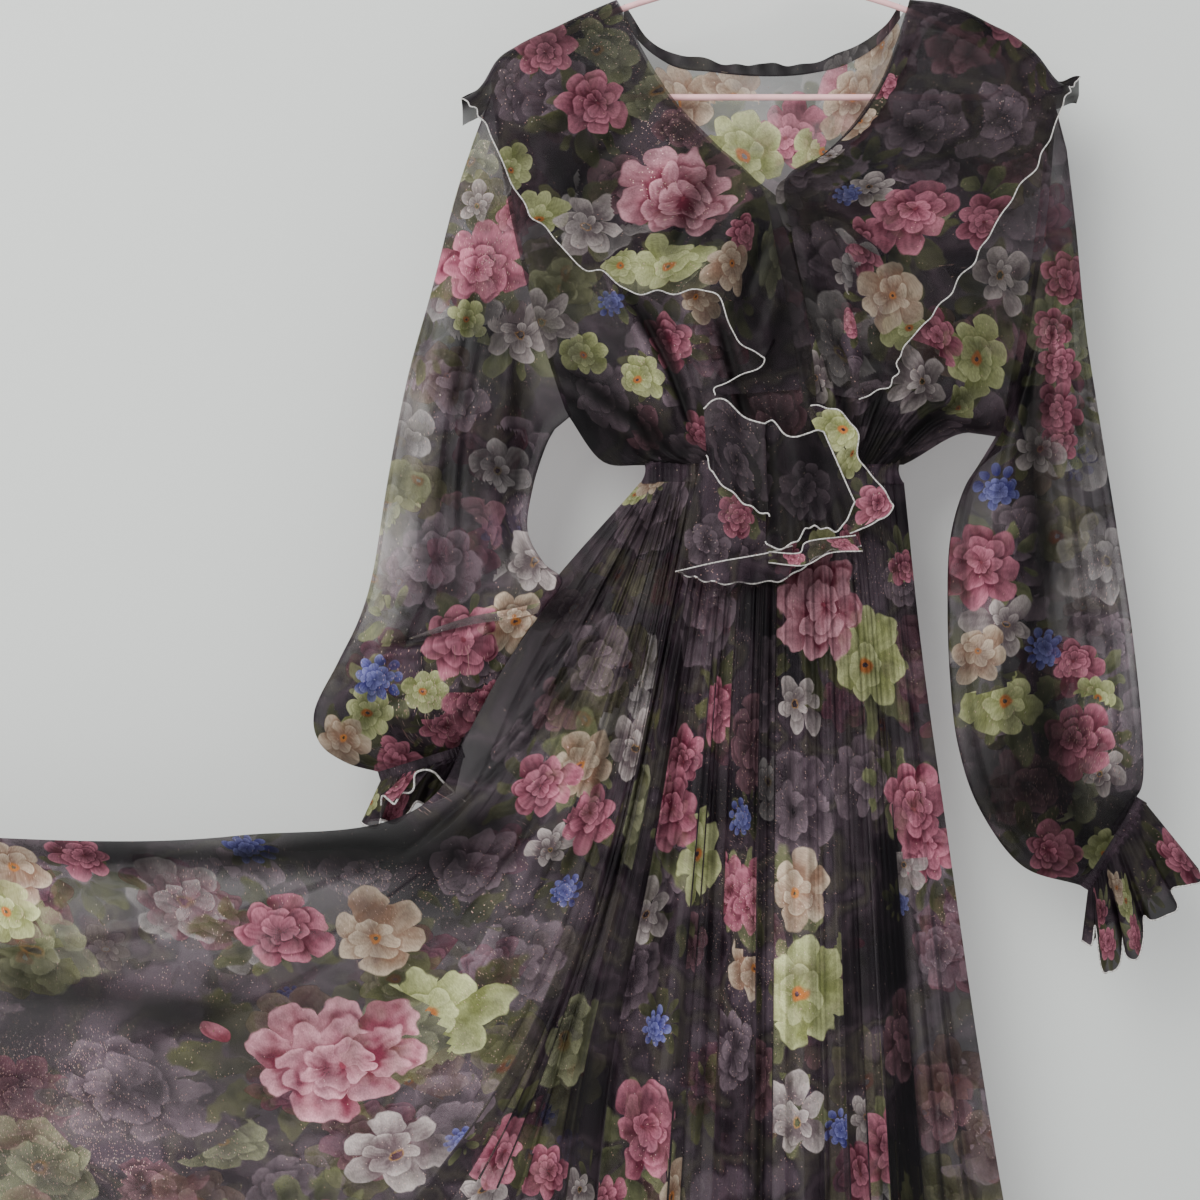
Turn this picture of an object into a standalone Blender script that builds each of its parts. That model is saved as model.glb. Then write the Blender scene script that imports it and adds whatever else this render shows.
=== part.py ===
# A maxi dress of sheer printed chiffon on a thin clothes hanger.
#
# Metres, +Z up. The origin is the seat of the hanger's hook, the front of the
# dress faces -Y and +X is to the right as the front is looked at. Sizes below
# are in millimetres and are turned to metres where a mesh is made.
#
# Every piece of cloth is a wall round a grid of points. The grid is worked out
# from a short table, one row for each section, and from two depth functions
# that say how far the front and the back stand off the hanger.

import math

import bpy
import bmesh
import numpy as np
from mathutils import Vector

MM = 0.001

# Sizes, mm.
WALL = 1.0              # thickness of every cloth wall
SEAM_GAP = 0.8          # space between the middles of two sewn edges
RIDGE_GAP = 0.9         # half the space between front and back at the shoulder

WIRE_RADIUS = 2.4       # hanger's bar
HOOK_RADIUS = 21.0      # middle of the hook's wire to its centre
HOOK_WIRE = 1.8         # radius of the hook's wire

WAIST_CENTRE = 7.0      # x of the middle of the waist
WAIST_HALF_WIDTH = 99.0
WAIST_HALF_DEPTH = 14.0
WAIST_TOP = -446.0
WAIST_BOTTOM = -463.0
WAIST_GATHERS = 16
WAIST_GATHER_DEPTH = 1.2

ARM_CLEARANCE = 3.4     # hanger bar's middle to the cloth that lies over it
PANEL_LIFT = 4.4        # right front over the left front
FLOUNCE_LIFT = 3.2      # flounce over the panel beneath it

SKIRT_GATHERS = 14      # small gathers under the waistband, on each side
GATHER_DEPTH = 2.0

# The line of the shoulders, from the left sleeve to the right one.
SHOULDER_LINE = (
    # x      z
    (-230, -186),
    (-209, -170),
    (-201, -156),
    (-185, -141.5),
    (-153, -125),
    (-132, -115),
    (-109, -105.2),
    (0, -72),
    (109, -105.2),
    (132, -108),
    (149, -113),
    (170, -123.5),
    (187, -132.5),
    (204, -148),
    (219, -168),
    (240, -180),
)

# Half the hanger, from its top to the middle of the lower bar.
HANGER_HALF = (
    # x      z
    (0, -76.5),
    (12, -80),
    (60, -94.5),
    (109, -110),
    (150, -128.5),
    (172, -141),
    (183, -151),
    (184, -163),
    (175, -172.5),
    (160, -175),
    (80, -175),
)

# Armholes: the shoulder end, the underarm end and how far the line bows out.
ARMHOLES = {
    "left": {"top": (-204, -166), "bottom": (-147, -412), "bow": -8},
    "right": {"top": (219, -168), "bottom": (180, -430), "bow": 7},
}

# How far front and back stand off the middle, by height.
BODY_DEPTH = (
    # z     front  back  front edge  back edge
    (-90, 6.0, 6.0, 6.0, 6.0),
    (-150, 8.0, 9.0, 6.5, 6.5),
    (-200, 11.0, 13.0, 9.0, 10.0),
    (-260, 14.0, 16.0, 12.0, 13.0),
    (-330, 17.0, 18.0, 12.0, 13.0),
    (-380, 20.0, 19.0, 8.0, 9.0),
    (-412, 21.0, 19.0, 3.0, 3.0),
    (-436, 20.0, 18.0, 1.0, 1.0),
    (-470, 14.0, 14.0, 1.0, 1.0),
)

# The wrapped fronts: inner edge and side, from the shoulder to the waist.
# v at ARMHOLE_END is the underarm; above it the side is the armhole.
ARMHOLE_END = 0.78
FRONT_LEFT = (
    # v     inner x, z     side x, z    rise of the middle
    (0.00, -109, -106, None, None, 0),
    (0.12, -83, -159, None, None, 0),
    (0.25, -48, -203, None, None, 0),
    (0.36, -16, -231, None, None, 0),
    (0.46, 20, -262, None, None, 0),
    (0.62, 46, -330, None, None, 4),
    (0.78, 58, -388, None, None, 8),
    (0.90, 62, -424, -121, -446, 4),
    (1.00, 64, -445.1, -93, -444.6, 0),
)
FRONT_RIGHT = (
    (0.00, 109, -106, None, None, 0),
    (0.12, 90, -160, None, None, 0),
    (0.25, 62, -203, None, None, 0),
    (0.36, 34, -229, None, None, 0),
    (0.44, 9, -246, None, None, 0),
    (0.53, 19, -288, None, None, 2),
    (0.65, 29, -330, None, None, 6),
    (0.78, 36, -378, None, None, 12),
    (0.89, 39, -414, 146, -427, 8),
    (1.00, 42, -445.1, 105.5, -444.6, 0),
)

# The back's upper edge between the shoulders is the neckline.
BACK_TOP = (
    # x      z
    (-109, -106),
    (-96, -126),
    (-72, -146),
    (-36, -153),
    (0, -156),
    (36, -154),
    (68, -145),
    (93, -127),
    (109, -106),
)
BACK_COLUMNS = (-204, -190, -165, -137, -109, -96, -72, -36, 0,
                36, 68, 93, 109, 135, 162, 190, 219)

# Flounces: the seam on the neckline and the free edge, shoulder to waist.
FLOUNCE_LEFT = (
    # a     seam x, z      edge x, z      lift at the edge
    (0.00, -110, -103.5, -226, -176, 2),
    (0.14, -88, -146, -208, -198, 9),
    (0.30, -63, -184, -178, -260, 7),
    (0.45, -36, -213, -152, -289, 6),
    (0.60, -11, -234, -104, -325, 5),
    (0.72, 2, -256, -62, -326, 5),
    (0.84, 14, -316, -27, -336, 5),
    (0.92, 22, -360, -4, -371, 4),
    (1.00, 26, -396, -36, -398, 4),
)
FLOUNCE_RIGHT = (
    (0.00, 110, -103.5, 238, -160, 2),
    (0.14, 97, -146, 224, -178, 8),
    (0.30, 74, -190, 205, -223, 8),
    (0.45, 45, -220, 176, -265, 6),
    (0.58, 15, -242, 155, -300, 6),
    (0.68, 20, -280, 128, -336, 5),
    (0.80, 29, -326, 101, -368, 5),
    (0.90, 36, -365, 94, -391, 4),
    (1.00, 41, -398, 69, -404, 4),
)
FLOUNCE_END_LIFT = 2.5  # more room where the shoulder falls away
FLOUNCE_OVER = (15.0, 6.0, 2.0)   # rows over the shoulder, below its line behind
NECK_BAND_COLUMNS = 27
NECK_BAND_HEIGHT = 9.0
BACK_RISE = 14.0        # how far the back's rows arch between the underarms
FLOUNCE_WAVES = 7
FLOUNCE_WAVE_DEPTH = 2.5

# The cascade at the waist, a row for each column of cloth.
CASCADE_FRONT = (
    # top x, z, y        bottom x, z, y
    (-44, -410, -34, -44, -445, -36),
    (-29, -405, -35, -22, -478, -46),
    (-7, -421, -34, 1, -491, -40),
    (6, -420, -38, 4, -513, -50),
    (26, -434, -34, 28, -508, -42),
    (40, -426, -37, 54, -499, -49),
    (46, -434, -34, 65, -482, -44),
)
CASCADE_SIDE = (
    (46, -428, -28, 66, -499, -35),
    (53, -414, -32, 74, -497, -39),
    (62, -419, -28, 84, -491, -34),
    (69, -430, -31, 93, -484, -38),
)
CASCADE_UNDER = (
    (-47, -448, -20, -66, -531, -27),
    (-30, -449, -22, -38, -539, -33),
    (-10, -449, -21, -8, -539, -28),
    (14, -449, -22, 15, -536, -32),
    (38, -449, -21, 45, -517, -27),
    (60, -449, -20, 71, -513, -30),
)

# Skirt lines from the right side seam round the front to the left one: where
# each leaves the waist, its x and z at five places, its depths half way down
# and at the hem.
SKIRT_PLACES = (0, 0.12, 0.26, 0.42, 0.68, 1)
SKIRT_LINES = (
    # waist x  x, z       x, z       x, z       x, z       hem x, z    depths
    (106, 119, -587, 139, -731, 163, -895, 208, -1161, 260, -1490, 0, 0),
    (65, 75, -589, 82, -734, 91, -900, 107, -1170, 126, -1500, 22, 34),
    (20, 20, -591, 20, -737, 20, -903, 20, -1173, 20, -1504, 28, 42),
    (-17, -27, -591, -35, -736, -43, -902, -56, -1171, -71, -1501, 28, 40),
    (-43, -67, -588, -95, -731, -134, -891, -172, -1160, -212, -1486, 24, 32),
    (-62, -90, -587, -125, -729, -186, -878, -362, -1086, -602, -1317, 15, 22),
    (-77, -128, -577, -194, -711, -298, -826, -545, -940, -861, -1047, 13, 16),
    (-92, -173, -560, -244, -697, -391, -726, -663, -724, -998, -702, 0, 0),
)
# The held-out side edge moves to and fro, so that the left cuff lies behind it.
SIDE_EDGE_SHIFT = (
    # v      y
    (0.00, 0),
    (0.10, 2),
    (0.17, -4),
    (0.25, -22),
    (0.34, -32),
    (0.45, -30),
    (0.70, -20),
    (1.00, -12),
)
FRONT_FOLDS = (
    # u      width   depth at the top, at the hem
    (0.060, 0.050, 2, 15),
    (0.160, 0.052, 4, 20),
    (0.265, 0.055, 4, 24),
    (0.372, 0.052, 5, 22),
    (0.468, 0.046, 5, 24),
    (0.555, 0.042, 5, 20),
    (0.640, 0.044, 6, 16),
    (0.785, 0.055, 7, 11),
    (0.905, 0.050, 4, 7),
)
BACK_FOLDS = (
    (0.070, 0.055, 2, 16),
    (0.185, 0.060, 4, 22),
    (0.310, 0.062, 4, 24),
    (0.435, 0.062, 5, 22),
    (0.560, 0.060, 5, 20),
    (0.700, 0.070, 6, 12),
    (0.860, 0.070, 4, 8),
)

# Sleeves, a row for each ring from the armhole to the wrist.
SLEEVE_LEFT = (
    # outer x, z     inner x, z     bow  half depth, middle y
    (-217, -208, -156, -424, 7, 13, 0),
    (-231, -252, -163, -438, 5, 15, -1),
    (-248, -320, -172, -467, 3, 17, -4),
    (-266, -387, -176, -500, 0, 18, -8),
    (-280, -462, -164, -524, 0, 19, -14),
    (-290, -529, -150, -538, 0, 18, -22),
    (-300, -565, -166, -562, 0, 17, -26),
    (-316, -598, -192, -600, 0, 16, -26),
    (-334, -634, -212, -636, 0, 15, -20),
    (-331, -659, -219, -649, 0, 13, -10),
    (-312, -674, -223, -656, 0, 12, -2),
    (-289, -681, -226, -661, 0, 10, 3),
)
SLEEVE_RIGHT = (
    (228, -214, 178, -440, 7, 13, 0),
    (235, -274, 168, -448, 5, 15, 0),
    (242, -350, 152, -466, 3, 18, -2),
    (253, -424, 140, -507, 0, 20, -4),
    (266, -507, 138, -560, 0, 21, -5),
    (275, -567, 140, -612, 0, 21, -5),
    (282, -627, 146, -661, 0, 20, -4),
    (285, -672, 162, -708, 0, 18, -3),
    (284, -691, 194, -751, 0, 14, -2),
    (280, -699, 238, -766, 0, 10, 0),
)
SLEEVE_COLUMNS = 18
SLEEVE_RINGS = 15
SLEEVE_FOLDS = 3
SLEEVE_FOLD_DEPTH = 3.0

# Cuff frills: the hem from outer to inner side, how far its middle hangs
# below that line, and how far forward and how deep the hem is.
CUFFS = {
    "left": {"hem": ((-303, -718), (-222, -708)), "sag": 6, "y": 6, "depth": 11},
    "right": {"hem": ((326, -757), (238, -805)), "sag": 30, "y": -4, "depth": 14},
}
CUFF_BAND_LENGTH = 8.0
FRILL_WAVES = 8
FRILL_WAVE_DEPTH = 4.0

MATERIALS = {
    # colour (linear), roughness, metallic
    "printed_chiffon": ((0.075, 0.050, 0.062), 0.62, 0.0),
    "gathered_chiffon": ((0.045, 0.032, 0.040), 0.66, 0.0),
    "hanger_plastic": ((0.80, 0.48, 0.47), 0.42, 0.0),
}


# Helpers.
def between(knots, values, at):
    """Smooth curve through values, one for each knot, read at some places."""
    at = np.clip(np.asarray(at, dtype=float), knots[0], knots[-1])
    steps = np.diff(knots).reshape((-1,) + (1,) * (values.ndim - 1))
    slopes = np.diff(values, axis=0) / steps
    tangents = np.empty_like(values)
    tangents[0] = slopes[0]
    tangents[-1] = slopes[-1]
    tangents[1:-1] = (slopes[:-1] * steps[1:] + slopes[1:] * steps[:-1]) / (steps[:-1] + steps[1:])
    span = np.clip(np.searchsorted(knots, at, side="right") - 1, 0, len(knots) - 2)
    width = np.diff(knots)[span]
    t = (at - knots[span]) / width
    t = t.reshape(t.shape + (1,) * (values.ndim - 1))
    width = width.reshape(t.shape)
    return ((2 * t**3 - 3 * t**2 + 1) * values[span]
            + (t**3 - 2 * t**2 + t) * width * tangents[span]
            + (3 * t**2 - 2 * t**3) * values[span + 1]
            + (t**3 - t**2) * width * tangents[span + 1])


def curve(rows, at):
    """Smooth curve through rows whose first column is the place along it."""
    rows = np.asarray(rows, dtype=float)
    return between(rows[:, 0], rows[:, 1:], at)


def even_rows(rows):
    """The same rows with their place along the curve put in front, 0 to 1."""
    places = np.linspace(0, 1, len(rows))[:, None]
    return np.hstack([places, np.asarray(rows, dtype=float)])


def smooth(low, high, x):
    t = np.clip((x - low) / (high - low), 0, 1)
    return t * t * (3 - 2 * t)


def material(name):
    colour, roughness, metallic = MATERIALS[name]
    made = bpy.data.materials.new(name)
    made.use_nodes = True
    shader = made.node_tree.nodes["Principled BSDF"]
    shader.inputs["Base Color"].default_value = (*colour, 1)
    shader.inputs["Roughness"].default_value = roughness
    shader.inputs["Metallic"].default_value = metallic
    made.diffuse_color = (*colour, 1)
    return made


def cloth(name, grid, finish, closed=False):
    """A wall round a grid of middle points, rows by columns, in mm.

    closed joins the last column to the first, for a sleeve or a band.
    """
    rows, columns = grid.shape[:2]
    mesh = bmesh.new()
    points = [[mesh.verts.new(Vector(point) * MM) for point in row] for row in grid]
    last = columns if closed else columns - 1
    for i in range(rows - 1):
        for j in range(last):
            k = (j + 1) % columns
            mesh.faces.new((points[i][j], points[i + 1][j], points[i + 1][k], points[i][k]))
    data = bpy.data.meshes.new(name)
    mesh.to_mesh(data)
    mesh.free()
    data.shade_smooth()
    piece = bpy.data.objects.new(name, data)
    data.materials.append(finish)
    bpy.context.collection.objects.link(piece)
    wall = piece.modifiers.new("wall", "SOLIDIFY")
    wall.thickness = WALL * MM
    wall.offset = 0
    wall.use_quality_normals = True
    return piece


def tube(name, path, radius, finish, cyclic=False):
    """A round bar along a path of points in mm, with closed ends."""
    data = bpy.data.curves.new(name, "CURVE")
    data.dimensions = "3D"
    data.bevel_depth = radius * MM
    data.bevel_resolution = 2
    data.use_fill_caps = not cyclic
    line = data.splines.new("POLY")
    line.points.add(len(path) - 1)
    for point, place in zip(line.points, path):
        point.co = (*(np.asarray(place) * MM), 1)
    line.use_cyclic_u = cyclic
    piece = bpy.data.objects.new(name, data)
    data.materials.append(finish)
    bpy.context.collection.objects.link(piece)
    return piece


# The body.
def shoulder_z(x):
    return curve(SHOULDER_LINE, x)[..., 0]


def armhole(side, w):
    """x and z of the armhole's line, w from 0 at the shoulder to 1 underarm."""
    hole = ARMHOLES[side]
    w = np.asarray(w, dtype=float)
    x = hole["top"][0] + (hole["bottom"][0] - hole["top"][0]) * w + hole["bow"] * 4 * w * (1 - w)
    z = hole["top"][1] + (hole["bottom"][1] - hole["top"][1]) * w
    return x, z


def side_x(side, z):
    """The body's outline at a height: the armhole, then the side of the waist."""
    hole = ARMHOLES[side]
    w = np.clip((hole["top"][1] - z) / (hole["top"][1] - hole["bottom"][1]), 0, 1)
    x = armhole(side, w)[0]
    end = WAIST_CENTRE + math.copysign(WAIST_HALF_WIDTH, hole["top"][0])
    low = smooth(hole["bottom"][1], WAIST_TOP - 10, z)
    return x + (end - x) * low


def stand_off(x, z, face, lift=0.0):
    """How far the front or the back stands off the middle at x, z."""
    drop = shoulder_z(x) + lift - z
    radius = ARM_CLEARANCE + lift
    share = np.clip(drop / radius, 0, 1)
    round_over = np.sqrt(1 - (1 - share) ** 2)
    depth = curve([(-row[0], *row[1:]) for row in BODY_DEPTH], -z)
    middle = depth[..., 0 if face == "front" else 1]
    edge = depth[..., 2 if face == "front" else 3]
    left = side_x("left", z)
    right = side_x("right", z)
    across = np.clip(np.abs(2 * x - left - right) / (right - left), 0, 1) ** 3
    return RIDGE_GAP + round_over * (middle * (1 - across) + edge * across + lift)


def waist_y(x):
    """The depth of the waist's oval at x."""
    across = np.clip((x - WAIST_CENTRE) / WAIST_HALF_WIDTH, -1, 1)
    return WAIST_HALF_DEPTH * np.sqrt(1 - across**2)


def bodice_folds(x, z):
    """Gathers that run up from the waist."""
    strength = smooth(-330, -425, z)
    return 1.6 * strength * np.sin((x - WAIST_CENTRE) / 5.4)


def front_panel(table, side, columns, lift):
    first = np.array([0, 0.006, 0.02, 0.05])
    v = np.concatenate([first, np.linspace(0.1, 1, 13)])[:, None]
    u = np.linspace(0, 1, columns)[None, :]
    inner = curve([(row[0], row[1], row[2], row[5]) for row in table], v[:, 0])
    x_arm, z_arm = armhole(side, np.clip(v[:, 0] / ARMHOLE_END, 0, 1))
    seam = [(ARMHOLE_END, ARMHOLES[side]["bottom"][0], ARMHOLES[side]["bottom"][1])]
    seam += [(row[0], row[3], row[4]) for row in table if row[3] is not None]
    outer = curve(seam, v[:, 0])
    below = v[:, 0] > ARMHOLE_END
    x_out = np.where(below, outer[:, 0], x_arm)[:, None]
    z_out = np.where(below, outer[:, 1], z_arm)[:, None]
    x = inner[:, 0:1] + (x_out - inner[:, 0:1]) * u
    z = inner[:, 1:2] + (z_out - inner[:, 1:2]) * u + inner[:, 2:3] * 4 * u * (1 - u)
    top_x = inner[0, 0] + (x_out[0] - inner[0, 0]) * u
    bow = shoulder_z(top_x) - (inner[0, 1] + (z_out[0] - inner[0, 1]) * u)
    z = z + bow * (1 - smooth(0, 0.35, v))
    y = stand_off(x, z, "front")
    y = y + (waist_y(x) - y) * smooth(0.86, 1, v) + bodice_folds(x, z) * (1 - u**4)
    y = y + lift * smooth(0.02, 0.3, v) * (1 - smooth(0.35, 0.8, u))
    at_seam = smooth(0.7, 1, u) * smooth(ARMHOLE_END - 0.03, ARMHOLE_END + 0.06, v)
    y = y * (1 - at_seam) + RIDGE_GAP * at_seam
    return np.dstack([x, -y, z])


def back_panel():
    first = np.array([0, 0.006, 0.02, 0.05])
    v = np.concatenate([first, np.linspace(0.1, 1, 10)])[:, None]
    top_x = np.array(BACK_COLUMNS, dtype=float)[None, :]
    u = (top_x - top_x[0, 0]) / (top_x[0, -1] - top_x[0, 0])
    sides = []
    for side, table in (("left", FRONT_LEFT), ("right", FRONT_RIGHT)):
        x_arm, z_arm = armhole(side, np.clip(v[:, 0] / ARMHOLE_END, 0, 1))
        seam = [(ARMHOLE_END, ARMHOLES[side]["bottom"][0], ARMHOLES[side]["bottom"][1])]
        seam += [(row[0], row[3], row[4]) for row in table if row[3] is not None]
        low = curve(seam, v[:, 0])
        below = v[:, 0] > ARMHOLE_END
        sides.append((np.where(below, low[:, 0], x_arm)[:, None],
                      np.where(below, low[:, 1], z_arm)[:, None]))
    (left_x, left_z), (right_x, right_z) = sides
    x = left_x + (right_x - left_x) * u
    z = left_z + (right_z - left_z) * u
    neck = (top_x >= BACK_TOP[0][0]) & (top_x <= BACK_TOP[-1][0])
    top_z = np.where(neck, curve(BACK_TOP, top_x)[..., 0], shoulder_z(top_x))
    z = z + (top_z - z[0]) * (1 - smooth(0, 0.75, v))
    arch = smooth(0.3, ARMHOLE_END, v) * (1 - smooth(ARMHOLE_END, 1, v))
    z = z + BACK_RISE * np.sin(np.pi * u) * arch
    y = stand_off(x, z, "back")
    y = y + (waist_y(x) - y) * smooth(0.86, 1, v)
    y = y + bodice_folds(x, z) * (1 - (2 * u - 1) ** 8)
    end = np.abs(2 * u - 1)
    at_seam = smooth(0.82, 1, end) * smooth(ARMHOLE_END - 0.03, ARMHOLE_END + 0.06, v)
    y = y * (1 - at_seam) + RIDGE_GAP * at_seam
    return np.dstack([x, y, z])


def flounce(table, lift):
    """A flounce over a front, its first rows carried over the shoulder."""
    b = np.linspace(0, 1, 9)[None, :]
    a = np.concatenate([[0, 0.015, 0.04], np.linspace(0.09, 1, 15)])
    rows = curve(table, a)
    x = rows[:, 0:1] + (rows[:, 2:3] - rows[:, 0:1]) * b
    z = rows[:, 1:2] + (rows[:, 3:4] - rows[:, 1:2]) * b
    level = FLOUNCE_LIFT + FLOUNCE_END_LIFT * smooth(0.55, 0.8, b)
    a = a[:, None]
    bow = (shoulder_z(x[0]) + level - z[0]) * (1 - smooth(0.84, 1, b))
    z = z + bow * (1 - smooth(0, 0.25, a))
    raised = lift * smooth(0.02, 0.3, a) * (1 - b) + rows[:, 4:5] * b**2
    waves = FLOUNCE_WAVE_DEPTH * (1 + np.sin(2 * np.pi * FLOUNCE_WAVES * a)) / 2
    y = stand_off(x, z, "front", level) + raised + bodice_folds(x, z)
    y = y + waves * b**2 * smooth(0, 0.2, a)
    front = np.dstack([x, -y, z])
    behind = []
    for drop in FLOUNCE_OVER:
        z_row = z[0] - drop
        y_row = stand_off(x[0], z_row, "back", level[0]) + 3 * b[0] ** 2
        behind.append(np.stack([x[0], y_row, z_row], axis=1))
    return np.vstack([np.array(behind), front])


def neck_band():
    """The narrow frill that stands along the back of the neck."""
    seam = np.array([place for place in BACK_COLUMNS if abs(place) < 109], dtype=float)
    seam = np.concatenate([[-104], seam, [104]])
    seam_z = curve(BACK_TOP, seam)[:, 0]
    seam_y = stand_off(seam, seam_z, "back")
    x = np.linspace(seam[0], seam[-1], NECK_BAND_COLUMNS)
    low = np.interp(x, seam, seam_z) + SEAM_GAP + 0.4
    middle = np.interp(x, seam, seam_y)
    height = NECK_BAND_HEIGHT + 3 * np.abs(x / seam[-1]) ** 2
    sway = 1.3 * np.sin(x / 7.0) + 2.0
    lines = []
    for share in (0, 0.5, 1):
        lines.append(np.stack([x, middle + sway * share, low + height * share], axis=1))
    return np.array(lines)


def neck_frill():
    """The narrow frill along the right side of the neckline."""
    a = np.linspace(0.05, 0.56, 18)
    rows = curve(FLOUNCE_RIGHT, a)
    x, z = rows[:, 0], rows[:, 1]
    base = stand_off(x, z, "front", FLOUNCE_LIFT) + PANEL_LIFT * smooth(0.02, 0.3, a) + 2.2
    lines = []
    for share in (0, 0.5, 1):
        stand = base + 1.5 * share + 0.8 * share * np.sin(a * 70)
        lines.append(np.stack([x + 2 + 9 * share, -stand, z - 2 * share], axis=1))
    return np.array(lines)


# Waist and skirt.
def waistband():
    angle = np.linspace(0, 2 * np.pi, WAIST_GATHERS * 4, endpoint=False)
    ripple = WAIST_GATHER_DEPTH * np.sin(WAIST_GATHERS * angle)
    x = WAIST_CENTRE + WAIST_HALF_WIDTH * np.cos(angle)
    y = -(WAIST_HALF_DEPTH + ripple) * np.sin(angle)
    return np.array([np.stack([x, y, np.full_like(x, z)], axis=1)
                     for z in (WAIST_TOP, WAIST_BOTTOM)])


def cascade(table, rows=6, across=16):
    lines = curve(even_rows(table), np.linspace(0, 1, across))
    grid = []
    for share in np.linspace(0, 1, rows):
        line = lines[:, :3] + (lines[:, 3:] - lines[:, :3]) * share
        grid.append(np.stack([line[:, 0], line[:, 2], line[:, 1]], axis=1))
    return np.array(grid)


def fold_depth(folds, u, v):
    """Soft ridges that run down the cloth and widen to the hem."""
    total = np.zeros(np.broadcast(u, v).shape)
    for place, width, top, hem in folds:
        t = np.clip(np.abs(u - place) / width, 0, 1)
        total = total + (top + (hem - top) * v) * np.cos(t * np.pi / 2) ** 2 * smooth(0, 0.12, v)
    return total


def skirt_panel(face, columns, rows):
    """Front or back of the skirt, from the right side seam to the left."""
    v = (np.linspace(0, 1, rows) ** 1.25)[:, None]
    u = np.linspace(0, 1, columns)[None, :]
    line = curve(even_rows(SKIRT_LINES), u[0])
    waist_x = line[:, 0]
    top = np.stack([waist_x, np.full_like(waist_x, WAIST_BOTTOM - SEAM_GAP)], axis=1)
    stations = np.stack([top] + [line[:, k:k + 2] for k in (1, 3, 5, 7, 9)])
    places = between(np.array(SKIRT_PLACES), stations, v[:, 0])
    x, z = places[..., 0], places[..., 1]
    middle, hem = line[:, 11], line[:, 12]
    body = (1 - v) ** 2 * 0.8 * waist_y(waist_x) + 2.4 * v * (1 - v) * middle + v**2 * hem
    at_waist = 1 - smooth(0, 0.1, v)
    body = body * (1 - at_waist) + waist_y(waist_x) * at_waist
    folds = fold_depth(FRONT_FOLDS if face == "front" else BACK_FOLDS, u, v)
    gathers = GATHER_DEPTH * np.sin(2 * np.pi * SKIRT_GATHERS * u) * (1 - smooth(0.02, 0.25, v))
    ends = np.sin(np.pi * u) ** 0.5
    off = RIDGE_GAP + (body + folds + gathers) * np.clip(ends * 1.4, 0, 1)
    shift = curve(SIDE_EDGE_SHIFT, v[:, 0]) * smooth(0.72, 0.97, u)
    y = shift - off if face == "front" else shift + off
    return np.dstack([x, y, z])


# Sleeves.
def sleeve(side, table):
    """A tube from the armhole to the wrist, flat as it hangs."""
    angle = np.linspace(0, 2 * np.pi, SLEEVE_COLUMNS, endpoint=False)
    outward = math.copysign(1, ARMHOLES[side]["top"][0])
    x, z = armhole(side, (1 - np.cos(angle)) / 2)
    y = np.where(np.sin(angle) > 0, -stand_off(x, z, "front"), stand_off(x, z, "back"))
    under = smooth(0.85, 1, (1 - np.cos(angle)) / 2)
    rings = [np.stack([x + outward * SEAM_GAP * 1.6, y, z - SEAM_GAP * under], axis=1)]
    places = np.linspace(0, 1, SLEEVE_RINGS)
    for place, row in zip(places, curve(even_rows(table), places)):
        x_out, z_out, x_in, z_in, bow, depth, y_mid = row
        half = np.array([(x_out - x_in) / 2, 0, (z_out - z_in) / 2])
        ring = np.array([(x_out + x_in) / 2, y_mid, (z_out + z_in) / 2])
        ring = ring + np.cos(angle)[:, None] * half
        ring[:, 0] += outward * bow * np.sin(angle) ** 2
        folds = SLEEVE_FOLD_DEPTH * np.sin(np.pi * place) ** 0.7
        turn = 0.6 * (angle > np.pi)
        ring[:, 1] -= np.sin(angle) * (depth + folds * np.cos(2 * SLEEVE_FOLDS * angle + turn))
        rings.append(ring)
    return np.array(rings)


def wrist_axes(row):
    """The two ends of the sleeve's last ring, and the way out of it, in x, z."""
    outer = np.array(row[0:2], dtype=float)
    inner = np.array(row[2:4], dtype=float)
    across = (outer - inner) / np.hypot(*(outer - inner))
    along = np.array([across[1], -across[0]])
    return outer, inner, along if along[1] < 0 else -along


def wrist_ring(outer, inner, y_mid, depth, angle, along, waves=0.0, sag=0.0):
    """An oval ring whose width is the line from outer to inner."""
    ripple = waves * np.sin(FRILL_WAVES * angle)
    flat = (outer + inner) / 2 + np.cos(angle)[:, None] * (outer - inner) / 2
    flat = flat + (sag * np.sin(angle) ** 2 + ripple * 0.35)[:, None] * along
    y = y_mid - np.sin(angle) * (depth + ripple)
    return np.stack([flat[:, 0], y, flat[:, 1]], axis=1)


def cuff_band(row):
    """The elastic at the wrist, between the sleeve and its frill."""
    angle = np.linspace(0, 2 * np.pi, SLEEVE_COLUMNS * 2, endpoint=False)
    outer, inner, along = wrist_axes(row)
    rings = []
    for reach in (SEAM_GAP * 1.5, CUFF_BAND_LENGTH):
        rings.append(wrist_ring(outer + along * reach, inner + along * reach,
                                row[6], row[5] - 1, angle, along))
    return np.array(rings)


def cuff_frill(side, row):
    """The frill below the elastic, which fans out to its hem."""
    cuff = CUFFS[side]
    angle = np.linspace(0, 2 * np.pi, FRILL_WAVES * 5, endpoint=False)
    outer, inner, along = wrist_axes(row)
    reach = along * (CUFF_BAND_LENGTH + SEAM_GAP * 1.5)
    hem_outer, hem_inner = (np.array(place, dtype=float) for place in cuff["hem"])
    rings = []
    for share in (0, 0.3, 0.65, 1):
        rings.append(wrist_ring(
            outer + reach + (hem_outer - outer - reach) * share,
            inner + reach + (hem_inner - inner - reach) * share,
            row[6] + (cuff["y"] - row[6]) * share,
            row[5] - 1 + (cuff["depth"] - row[5] + 1) * share,
            angle, along, FRILL_WAVE_DEPTH * share, cuff["sag"] * share))
    return np.array(rings)


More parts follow.
